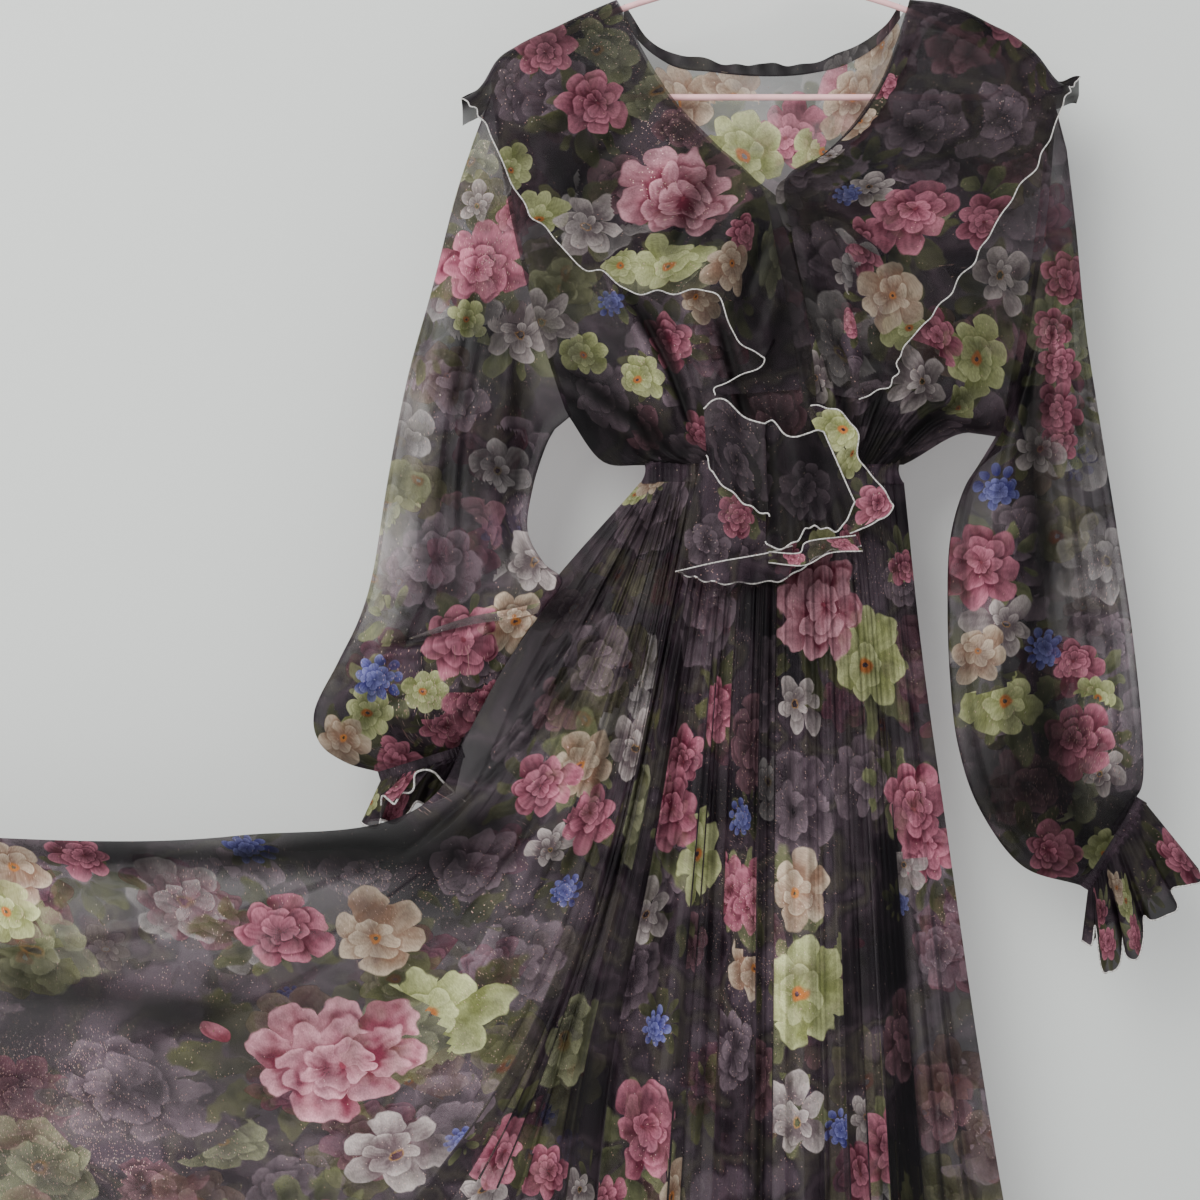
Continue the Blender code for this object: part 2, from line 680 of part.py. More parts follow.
# Hanger.
def hanger_path():
    half = curve(even_rows(HANGER_HALF), np.linspace(0, 1, 18))
    right = [(x, 0, z) for x, z in half]
    left = [(-x, 0, z) for x, z in half[1:]]
    return right + left[::-1]


def hook_path():
    foot = HANGER_HALF[0][1] + WIRE_RADIUS + 0.4
    stem = [(0, 0, foot), (0, 0, -60), (2.5, 0, -51), (8, 0, -42)]
    centre = HOOK_WIRE - HOOK_RADIUS
    turns = np.radians(np.linspace(-42, 205, 17))
    arc = [(HOOK_RADIUS * math.cos(t), 0, centre + HOOK_RADIUS * math.sin(t)) for t in turns]
    return stem + arc


def build():
    for old in list(bpy.data.objects):
        bpy.data.objects.remove(old)
    chiffon = material("printed_chiffon")
    gathered = material("gathered_chiffon")
    plastic = material("hanger_plastic")

    tube("hanger_frame", hanger_path(), WIRE_RADIUS, plastic, cyclic=True)
    tube("hanger_hook", hook_path(), HOOK_WIRE, plastic)

    cloth("back_bodice", back_panel(), chiffon)
    cloth("front_bodice_left", front_panel(FRONT_LEFT, "left", 12, 0), chiffon)
    cloth("front_bodice_right", front_panel(FRONT_RIGHT, "right", 11, PANEL_LIFT), chiffon)
    cloth("flounce_left", flounce(FLOUNCE_LEFT, 0), chiffon)
    cloth("flounce_right", flounce(FLOUNCE_RIGHT, PANEL_LIFT), chiffon)
    cloth("neck_band_back", neck_band(), chiffon)
    cloth("neck_frill_right", neck_frill(), chiffon)

    cloth("waistband", waistband(), gathered, closed=True)
    cloth("cascade_under", cascade(CASCADE_UNDER), chiffon)
    cloth("cascade_side", cascade(CASCADE_SIDE, across=8), chiffon)
    cloth("cascade_front", cascade(CASCADE_FRONT), chiffon)

    cloth("skirt_front", skirt_panel("front", 57, 15), chiffon)
    cloth("skirt_back", skirt_panel("back", 34, 13), chiffon)

    for side, table in (("left", SLEEVE_LEFT), ("right", SLEEVE_RIGHT)):
        cloth(f"sleeve_{side}", sleeve(side, table), chiffon, closed=True)
        cloth(f"cuff_band_{side}", cuff_band(table[-1]), gathered, closed=True)
        cloth(f"cuff_frill_{side}", cuff_frill(side, table[-1]), chiffon, closed=True)


build()
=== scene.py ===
import math

import bmesh
import bpy
import numpy as np
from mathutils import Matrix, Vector


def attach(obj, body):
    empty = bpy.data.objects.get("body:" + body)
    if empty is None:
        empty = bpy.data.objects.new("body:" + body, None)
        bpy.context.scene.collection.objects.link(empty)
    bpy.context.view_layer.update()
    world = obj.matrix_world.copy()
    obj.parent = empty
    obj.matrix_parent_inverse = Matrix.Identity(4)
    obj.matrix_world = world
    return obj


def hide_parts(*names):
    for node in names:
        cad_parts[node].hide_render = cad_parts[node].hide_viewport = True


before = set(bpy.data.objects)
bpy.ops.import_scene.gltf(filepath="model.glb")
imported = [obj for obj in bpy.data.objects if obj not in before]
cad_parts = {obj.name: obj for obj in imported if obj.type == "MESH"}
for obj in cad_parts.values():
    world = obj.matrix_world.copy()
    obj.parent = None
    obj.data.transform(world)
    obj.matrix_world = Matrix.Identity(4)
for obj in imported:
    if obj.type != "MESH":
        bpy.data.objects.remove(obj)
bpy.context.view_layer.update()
mm = 0.001


# Curves through the rows of a table.
def between(knots, values, at):
    at = np.clip(np.asarray(at, dtype=float), knots[0], knots[-1])
    steps = np.diff(knots).reshape((-1,) + (1,) * (values.ndim - 1))
    slopes = np.diff(values, axis=0) / steps
    tangents = np.empty_like(values)
    tangents[0] = slopes[0]
    tangents[-1] = slopes[-1]
    tangents[1:-1] = (slopes[:-1] * steps[1:] + slopes[1:] * steps[:-1]) / (steps[:-1] + steps[1:])
    span = np.clip(np.searchsorted(knots, at, side="right") - 1, 0, len(knots) - 2)
    width = np.diff(knots)[span]
    t = (at - knots[span]) / width
    t = t.reshape(t.shape + (1,) * (values.ndim - 1))
    width = width.reshape(t.shape)
    return ((2 * t**3 - 3 * t**2 + 1) * values[span]
            + (t**3 - 2 * t**2 + t) * width * tangents[span]
            + (3 * t**2 - 2 * t**3) * values[span + 1]
            + (t**3 - t**2) * width * tangents[span + 1])


def curve(rows, at):  # the first column is the place along it
    rows = np.asarray(rows, dtype=float)
    return between(rows[:, 0], rows[:, 1:], at)


def evenRows(rows):
    places = np.linspace(0, 1, len(rows))[:, None]
    return np.hstack([places, np.asarray(rows, dtype=float)])


def smooth(low, high, x):
    t = np.clip((x - low) / (high - low), 0, 1)
    return t * t * (3 - 2 * t)


# Creases are soft ridges, or troughs where the depth is negative, along a bowed line from x, z to x, z.
def creases(x, z, table):
    total = np.zeros(np.broadcast(x, z).shape)
    for startX, startZ, endX, endZ, bow, width, depth in table:
        runX, runZ = endX - startX, endZ - startZ
        length = math.hypot(runX, runZ)
        t = ((x - startX) * runX + (z - startZ) * runZ) / length**2
        away = ((x - startX) * runZ - (z - startZ) * runX) / length - bow * 4 * t * (1 - t)
        fade = smooth(-0.05, 0.3, t) * (1 - smooth(0.7, 1.05, t))
        total = total + depth * fade * np.exp(-(away / width) ** 2)
    return total


# Gathers leave a drawn-in edge at uneven places and die out at uneven lengths.
def gathers(u, v, spec):
    draw = np.random.default_rng(spec["seed"])
    total = np.zeros(np.broadcast(u, v).shape)
    for n in range(spec["count"]):
        place = (n + 0.5 + draw.uniform(-0.4, 0.4)) / spec["count"]
        lean = draw.uniform(-0.6, 0.6) / spec["count"]
        width = draw.uniform(0.35, 0.75) / spec["count"]
        depth = draw.uniform(0.4, 1.0) * spec["depth"]
        reach = draw.uniform(*spec["reach"])
        away = np.abs(u - place - lean * v) / width
        total = total + depth * cosineRidge(away) * (1 - smooth(0.15 * reach, reach, v))
    return total


# Soft patches: x, z, reach in x, reach in z, amount.
def blots(x, z, table):
    total = np.zeros(np.broadcast(x, z).shape)
    for middleX, middleZ, reachX, reachZ, amount in table:
        total = total + amount * np.exp(-((x - middleX) / reachX) ** 2 - ((z - middleZ) / reachZ) ** 2)
    return total


# Cloth folded over on itself, from u to u and from v to v: its extra layers, and the cloth hidden in it.
def foldedOver(u, v, table):
    layers = np.zeros(np.broadcast(u, v).shape)
    hidden = np.zeros(layers.shape)
    for start, end, top, low, extra, width in table:
        length = smooth(top, top + 0.07, v) * (1 - smooth(low - 0.09, low, v))
        layers = layers + extra * length * ((u >= start) & (u <= end))
        hidden = hidden + width * length * ((u >= start) * 1.0 + (u > end))
    return layers, hidden


def narrowFolds(seed, count, reach, widths=(0.003, 0.010), upTo=0.96):
    draw = np.random.default_rng(seed)
    rows = []
    for _ in range(count):
        start = draw.uniform(0.03, upTo)
        top = draw.uniform(-0.07, 0.25)
        rows.append((start, start + draw.uniform(*widths), top, top + draw.uniform(*reach),
                     draw.uniform(0.3, 1.1), 0))
    return tuple(rows)


# The body of the dress: the sizes of the solids that the cloth lies on.
body = {
    "seamGap": 0.8,
    "ridgeGap": 0.9,
    "armClearance": 3.4,
    "waistCentre": 7.0,
    "waistHalfWidth": 99.0,
    "waistHalfDepth": 14.0,
    "waistTop": -446.0,
    "waistBottom": -463.0,
    "blouse": 6.0,             # the bodice hangs a little over the band
    "armholeEnd": 0.78,
    "shoulderLine": (  # x, z
        (-230, -186), (-209, -170), (-201, -156), (-185, -141.5), (-153, -125), (-132, -115), (-109, -105.2),
        (0, -72), (109, -105.2), (132, -108), (149, -113), (170, -123.5), (187, -132.5), (204, -148),
        (219, -168), (240, -180),
    ),
    "armholes": {
        "left": {"top": (-204, -166), "bottom": (-147, -412), "bow": -8},
        "right": {"top": (219, -168), "bottom": (180, -430), "bow": 7},
    },
    "depth": (  # minus z, front, back, front edge, back edge
        (90, 6.0, 6.0, 6.0, 6.0), (150, 8.0, 9.0, 6.5, 6.5), (200, 11.0, 13.0, 9.0, 10.0),
        (260, 14.0, 16.0, 12.0, 13.0), (330, 17.0, 18.0, 12.0, 13.0), (380, 20.0, 19.0, 8.0, 9.0),
        (412, 21.0, 19.0, 3.0, 3.0), (436, 20.0, 18.0, 1.0, 1.0), (470, 14.0, 14.0, 1.0, 1.0),
    ),
}


def shoulderZ(x):
    return curve(body["shoulderLine"], x)[..., 0]


def armhole(side, w):
    hole = body["armholes"][side]
    w = np.asarray(w, dtype=float)
    x = hole["top"][0] + (hole["bottom"][0] - hole["top"][0]) * w + hole["bow"] * 4 * w * (1 - w)
    z = hole["top"][1] + (hole["bottom"][1] - hole["top"][1]) * w
    return x, z


def sideX(side, z):
    hole = body["armholes"][side]
    w = np.clip((hole["top"][1] - z) / (hole["top"][1] - hole["bottom"][1]), 0, 1)
    x = armhole(side, w)[0]
    end = body["waistCentre"] + math.copysign(body["waistHalfWidth"], hole["top"][0])
    return x + (end - x) * smooth(hole["bottom"][1], body["waistTop"] - 10, z)


def cosineRidge(away):
    return np.cos(np.clip(away, 0, 1) * np.pi / 2) ** 2


# How far the front or the back stands off the middle, round over the shoulder.
def standOff(x, z, face, lift=0.0):
    drop = shoulderZ(x) + lift - z
    share = np.clip(drop / (body["armClearance"] + lift), 0, 1)
    roundOver = np.sqrt(1 - (1 - share) ** 2)
    depth = curve(body["depth"], -z)
    middle = depth[..., 0 if face == "front" else 1]
    edge = depth[..., 2 if face == "front" else 3]
    left, right = sideX("left", z), sideX("right", z)
    across = np.clip(np.abs(2 * x - left - right) / (right - left), 0, 1) ** 3
    return body["ridgeGap"] + roundOver * (middle * (1 - across) + edge * across + lift)


def waistY(x):
    across = np.clip((x - body["waistCentre"]) / body["waistHalfWidth"], -1, 1)
    return body["waistHalfDepth"] * np.sqrt(1 - across**2)


# The printed flowers. A kind's petals stand in up to three rings: how far out, and how big, in flower radii.
bloomFields = ("petals", "rings", "heart", "soft", "narrow", "vary", "tip", "base", "heartColour")
bloomRows = {
    "peony": (8, (0.6, 0.44, 0.38, 0.37, 0.16, 0.27), 0.05, 0.1, 1.2, 0.34,
              (0.74, 0.35, 0.42), (0.16, 0.018, 0.042), (0.26, 0.04, 0.07)),
    "rose": (7, (0.57, 0.46, 0.34, 0.36, 0.14, 0.24), 0.05, 0.12, 1.2, 0.36,
             (0.57, 0.195, 0.27), (0.105, 0.012, 0.03), (0.18, 0.03, 0.05)),
    "lime": (7, (0.57, 0.45, 0.27, 0.26, 0, 0), 0.17, 0.1, 1.1, 0.3,
             (0.52, 0.535, 0.27), (0.2, 0.215, 0.075), (0.4, 0.13, 0.03)),
    "white": (6, (0.56, 0.43, 0.27, 0.24, 0, 0), 0.12, 0.12, 1.25, 0.36,
              (0.5, 0.43, 0.415), (0.12, 0.088, 0.095), (0.34, 0.18, 0.06)),
    "cream": (6, (0.55, 0.47, 0.27, 0.28, 0, 0), 0.13, 0.12, 1.1, 0.32,
              (0.59, 0.465, 0.35), (0.24, 0.135, 0.09), (0.44, 0.16, 0.04)),
    "blue": (9, (0.7, 0.27, 0.42, 0.27, 0.16, 0.24), 0.02, 0.15, 1.2, 0.3,
             (0.2, 0.205, 0.47), (0.03, 0.026, 0.15), (0.25, 0.26, 0.45)),
    "bud": (1, (0.1, 0.8, 0, 0, 0, 0), 0.02, 0.1, 1.7, 0.1,
            (0.64, 0.24, 0.31), (0.2, 0.04, 0.06), (0.2, 0.19, 0.08)),
    "ghostMauve": (8, (0.54, 0.44, 0.26, 0.3, 0, 0), 0.1, 0.12, 1.1, 0.4,
                   (0.2, 0.142, 0.172), (0.036, 0.022, 0.032), (0.06, 0.04, 0.05)),
    "ghostGrey": (6, (0.54, 0.44, 0.28, 0.26, 0, 0), 0.14, 0.12, 1.15, 0.38,
                  (0.29, 0.258, 0.255), (0.064, 0.052, 0.056), (0.12, 0.09, 0.05)),
    "ghostGreen": (7, (0.54, 0.44, 0.28, 0.26, 0, 0), 0.15, 0.12, 1.1, 0.38,
                   (0.25, 0.25, 0.15), (0.062, 0.064, 0.034), (0.16, 0.09, 0.03)),
    "ghostRose": (8, (0.54, 0.44, 0.28, 0.3, 0, 0), 0.08, 0.12, 1.1, 0.4,
                  (0.21, 0.1, 0.125), (0.036, 0.012, 0.018), (0.06, 0.02, 0.03)),
    "leafDark": (9, (0.58, 0.5, 0, 0, 0, 0), 0.02, 0.22, 2.3, 0.7,
                 (0.115, 0.112, 0.052), (0.026, 0.027, 0.014), (0.03, 0.032, 0.015)),
    "leafPale": (8, (0.57, 0.5, 0, 0, 0, 0), 0.02, 0.22, 2.0, 0.7,
                 (0.215, 0.22, 0.112), (0.052, 0.056, 0.028), (0.07, 0.075, 0.035)),
}
bloomKinds = {name: dict(zip(bloomFields, row)) for name, row in bloomRows.items()}
kindNames = list(bloomKinds)
mostPetals = 12
mostNarrow = 4


def join(tree, source, target):
    if isinstance(source, (int, float)):
        target.default_value = source
    elif isinstance(source, tuple):
        target.default_value = (*source, 1) if len(target.default_value) == 4 else source
    else:
        tree.links.new(source, target)


# A node, with what each of its sockets is given.
def addNode(tree, kind, given=None, **settings):
    made = tree.nodes.new(kind)
    for name, value in settings.items():
        setattr(made, name, value)
    for socket, source in (given or {}).items():
        join(tree, source, made.inputs[socket])
    return made


def calc(tree, operation, first, second=0.0, third=0.0):
    return addNode(tree, "ShaderNodeMath", {0: first, 1: second, 2: third}, operation=operation).outputs[0]


def vectorCalc(tree, operation, first, second=(0, 0, 0)):
    return addNode(tree, "ShaderNodeVectorMath", {0: first, 1: second}, operation=operation).outputs[0]


def lengthOf(tree, vector):
    return addNode(tree, "ShaderNodeVectorMath", {0: vector}, operation="LENGTH").outputs["Value"]


def scaled(tree, vector, share):
    return addNode(tree, "ShaderNodeVectorMath", {0: vector, "Scale": share}, operation="SCALE").outputs[0]


def split(tree, source, kind="XYZ"):
    return addNode(tree, "ShaderNodeSeparate" + kind, {0: source}).outputs


def noise(tree, place, scale, detail=2.0):
    return addNode(tree, "ShaderNodeTexNoise", {"Vector": place, "Scale": scale, "Detail": detail}).outputs


def attribute(tree, name):
    return addNode(tree, "ShaderNodeAttribute", attribute_name=name).outputs["Vector"]


def blend(tree, amount, first, second):
    return addNode(tree, "ShaderNodeMix", {0: amount, 6: first, 7: second}, data_type="RGBA").outputs[2]


def stretch(tree, value, low, high, newLow=0.0, newHigh=1.0):
    given = dict(enumerate((value, low, high, newLow, newHigh)))
    return addNode(tree, "ShaderNodeMapRange", given, interpolation_type="SMOOTHSTEP").outputs[0]


def ramp(tree, value, stops, kind="LINEAR"):
    made = addNode(tree, "ShaderNodeValToRGB", {0: value})
    made.color_ramp.interpolation = kind
    elements = made.color_ramp.elements
    while len(elements) < len(stops):
        elements.new(1)
    for element, (position, colour) in zip(elements, stops):
        element.position = position
        element.color = colour if len(colour) == 4 else (*colour, 1)
    return made.outputs


def newGroup(name, inputs, outputs):
    tree = bpy.data.node_groups.new(name, "ShaderNodeTree")
    for way, sockets in (("INPUT", inputs), ("OUTPUT", outputs)):
        for label, kind in sockets.items():
            tree.interface.new_socket(label, in_out=way, socket_type="NodeSocket" + kind)
    return tree, addNode(tree, "NodeGroupInput").outputs, addNode(tree, "NodeGroupOutput").inputs


def newMaterial(name):
    made = bpy.data.materials.new(name)
    made.use_nodes = True
    tree = made.node_tree
    return made, tree, tree.nodes["Principled BSDF"], addNode(tree, "ShaderNodeTexCoord").outputs["Object"]


# Where the amount is 1, what lies behind is seen through a clear sheet of the given tint.
def clearWhere(tree, amount, shader, tint=(1, 1, 1)):
    clear = addNode(tree, "ShaderNodeBsdfTransparent", {0: tint})
    mix = addNode(tree, "ShaderNodeMixShader", {0: amount, 1: shader.outputs[0], 2: clear.outputs[0]})
    tree.links.new(mix.outputs[0], tree.nodes["Material Output"].inputs[0])


petal = {
    "ringTurn": 0.13,              # each ring is turned on from the one outside it
    "scatter": (12.99, 40.0, 437.6),
    "least": 0.001,
    "reach": (-0.24, 1.08),        # by chance, and without it
    "lightOut": 0.44,
    "lightAcross": (-0.30, 0.30),
    "rim": (0.60, 0.98, -0.04, 0.18),
    "veins": (15.0, 3.0, 0.07),    # across, outward, how strong
    "lightByChance": (0.36, 0.06),
    "shadow": (1.0, 1.35, 0.45, 1.0),
    "strokes": 3.4,
    "worn": (3.0, 0.90),
    "heartOff": (0.11, -0.06, 0),  # the heart is off the middle
    "heartByLight": 0.05,
    "heartEdge": 0.6,
}


# One ring of petals round the middle: how far away its nearest petal is, and how light that is.
def petalRing(tree, n, radius, angle, turn, petals, reach, size, narrow, vary):
    place = calc(tree, "MULTIPLY_ADD", angle, 0.5 / math.pi, calc(tree, "ADD", turn, petal["ringTurn"] * n))
    place = calc(tree, "MULTIPLY", place, petals)
    number = calc(tree, "ROUND", place)
    off = calc(tree, "DIVIDE", calc(tree, "SUBTRACT", place, number), petals)
    off = calc(tree, "MULTIPLY", off, 2 * math.pi)
    number = calc(tree, "FLOORED_MODULO", number, petals)
    byNumber, byTurn, spread = petal["scatter"]
    chance = calc(tree, "MULTIPLY_ADD", number, byNumber, calc(tree, "MULTIPLY", turn, byTurn + n))
    chance = calc(tree, "FRACT", calc(tree, "MULTIPLY", calc(tree, "SINE", chance), spread))
    size = calc(tree, "MULTIPLY", size, calc(tree, "SUBTRACT", 1.0, calc(tree, "MULTIPLY", chance, vary)))
    size = calc(tree, "MAXIMUM", size, petal["least"])
    reach = calc(tree, "MULTIPLY", reach, calc(tree, "MULTIPLY_ADD", chance, *petal["reach"]))
    out = calc(tree, "SUBTRACT", calc(tree, "MULTIPLY", radius, calc(tree, "COSINE", off)), reach)
    out = calc(tree, "DIVIDE", out, size)
    side = calc(tree, "DIVIDE", calc(tree, "MULTIPLY", radius, calc(tree, "SINE", off)), size)
    spot = addNode(tree, "ShaderNodeCombineXYZ", {0: out, 1: calc(tree, "MULTIPLY", side, narrow)})
    away = lengthOf(tree, spot.outputs[0])
    light = calc(tree, "MULTIPLY_ADD", side, *petal["lightAcross"])
    light = calc(tree, "MULTIPLY_ADD", out, petal["lightOut"], light)
    light = calc(tree, "ADD", light, stretch(tree, away, *petal["rim"]))
    across, outward, strength = petal["veins"]
    vein = calc(tree, "MULTIPLY_ADD", side, across, calc(tree, "MULTIPLY", out, outward))
    light = calc(tree, "MULTIPLY_ADD", calc(tree, "SINE", vein), strength, light)
    share, less = petal["lightByChance"]
    return away, calc(tree, "MULTIPLY_ADD", chance, share, calc(tree, "SUBTRACT", light, less))


# One flower: Place is x and y in flower radii from its middle, and its kind plus a share of a turn.
def flowerGroup(name, rings):
    tree, given, result = newGroup(name, {"Place": "Vector", "Wander": "Vector"},
                                   {"Colour": "Color", "Mask": "Float"})
    code = split(tree, given["Place"])[2]
    kind = calc(tree, "ADD", calc(tree, "FLOOR", code), 0.5)
    kind = calc(tree, "DIVIDE", kind, float(len(kindNames)))
    turn = calc(tree, "FRACT", code)

    stops = ([], [], [], [], [])
    for n, row in enumerate(bloomKinds.values()):
        stored = ((row["petals"] / mostPetals, *row["rings"][:2], row["heart"]), row["rings"][2:],
                  (*row["tip"], row["soft"]), (*row["base"], row["narrow"] / mostNarrow),
                  (*row["heartColour"], row["vary"]))
        for table, values in zip(stops, stored):
            table.append((n / len(kindNames), values))
    form, inner, tip, base, heart = (ramp(tree, kind, table, "CONSTANT") for table in stops)
    count, *outerSizes = split(tree, form[0], "Color")
    sizes = (*outerSizes, *split(tree, inner[0], "Color"), inner[1])
    petals = calc(tree, "MULTIPLY", count, float(mostPetals))
    narrow = calc(tree, "MULTIPLY", base[1], float(mostNarrow))

    moved = vectorCalc(tree, "ADD", given["Place"], given["Wander"])  # petals wander off their plan
    outer = vectorCalc(tree, "MULTIPLY", moved, (1, 1, 0))
    inward = vectorCalc(tree, "ADD", outer, petal["heartOff"])
    firm = calc(tree, "SUBTRACT", 1.0, tip[1])
    for n in range(rings):
        if n < 2:
            flat = (outer, inward)[n]
            radius = lengthOf(tree, flat)
            parts = split(tree, flat)
            angle = calc(tree, "ARCTAN2", parts[1], parts[0])
        away, lit = petalRing(tree, n, radius, angle, turn, petals, sizes[2 * n], sizes[2 * n + 1],
                              narrow, heart[1])
        covers = stretch(tree, away, firm, 1.0, 1.0, 0.0)
        if n == 0:
            mask, light = covers, lit
            continue
        light = calc(tree, "MULTIPLY", light, stretch(tree, away, *petal["shadow"]))
        light = calc(tree, "MULTIPLY_ADD", calc(tree, "SUBTRACT", lit, light), covers, light)
        mask = calc(tree, "MAXIMUM", mask, covers)
    strokes = split(tree, given["Wander"])
    light = calc(tree, "MULTIPLY_ADD", strokes[2], petal["strokes"], light)
    light.node.use_clamp = True
    worn = calc(tree, "MULTIPLY_ADD", strokes[0], *petal["worn"])
    worn.node.use_clamp = True
    colour = blend(tree, light, base[0], tip[0])
    heartSize = calc(tree, "MULTIPLY_ADD", light, petal["heartByLight"], form[1])
    heartEdge = calc(tree, "MULTIPLY", heartSize, petal["heartEdge"])
    inHeart = stretch(tree, radius, heartEdge, heartSize, 1.0, 0.0)
    join(tree, blend(tree, inHeart, colour, heart[0]), result["Colour"])
    join(tree, calc(tree, "MULTIPLY", mask, worn), result["Mask"])
    return tree


glint = {
    "cells": (1050, 900, 1),   # to a metre of cloth: about 1 mm wide
    "edge": (0.25, 0.55, 1.0, 0.0),
    "tints": (
        (0.0, (0.95, 0.48, 0.42)), (0.40, (1.00, 0.68, 0.54)), (0.65, (0.95, 0.56, 0.60)),
        (0.85, (0.90, 0.78, 0.52)), (1.0, (0.95, 0.84, 0.84)),
    ),
}


# Fine metallic threads run down the cloth. Where they catch the light, in patches, their glints are painted
# into the colour as bright tints, and the material also makes them metallic and glossy.
def glitterAndGlintGroup(spec):
    tree, given, result = newGroup("glitterThreadAndPaintedGlints", {"Flat": "Vector", "Patch": "Float"},
                                   {"Colour": "Color", "Mask": "Float", "Grain": "Float"})
    place = vectorCalc(tree, "MULTIPLY", given["Flat"], spec["cells"])
    cells = addNode(tree, "ShaderNodeTexVoronoi", {"Vector": place, "Scale": 1.0},
                    voronoi_dimensions="2D", feature="F1").outputs
    random = split(tree, cells["Color"], "Color")
    lit = calc(tree, "GREATER_THAN", random[0], calc(tree, "SUBTRACT", 1.0, given["Patch"]))
    small = stretch(tree, cells["Distance"], *spec["edge"])
    join(tree, ramp(tree, random[1], spec["tints"])[0], result["Colour"])
    join(tree, calc(tree, "MULTIPLY", lit, small), result["Mask"])
    join(tree, random[2], result["Grain"])
    return tree


layerNames = ("bloomGhost", "bloomLeaf", "bloomLow", "bloomTop")
chiffon = {
    "thinness": 0.56,          # alpha of one bare layer seen square on
    "covers": {"bloomGhost": 0.06, "bloomLeaf": 0.14, "bloomLow": 0.32, "bloomTop": 0.32},  # print adds it
    "mostAlpha": 0.93,
    "wander": 0.38,            # how far petals stray, in flower radii
    "fineNoise": (56.0, 1.0),
    "broadNoise": (17.0, 1.5),
    "fineShare": 0.26,
    "groundTones": (
        (0.30, (0.011, 0.007, 0.012)), (0.40, (0.022, 0.012, 0.020)), (0.46, (0.060, 0.038, 0.052)),
        (0.50, (0.027, 0.017, 0.024)), (0.55, (0.058, 0.047, 0.040)), (0.60, (0.025, 0.015, 0.023)),
        (0.66, (0.084, 0.057, 0.076)),
    ),
    "paleGround": (0.220, 0.195, 0.180),
    "paleFlowers": 0.5,
    "layerShade": 0.40,        # painted shade: how much each further layer darkens the cloth's colour
    "darkest": 0.06,
    "cloudy": (0.36, 0.64, 0.76, 1.22),
    "grain": (0.34, 0.83),
    "patches": (0.50, 0.68, 0.003, 0.035),
    "sparkle": 0.50,
    "metallic": 0.6,
    "roughness": 0.55,
    "threadRoughness": 0.34,
    "specular": 0.10,
    "edgeOn": 0.14,            # the least that cloth seen edge on is turned to the eye
    "lampThrough": (0.50, 0.47, 0.48),
}


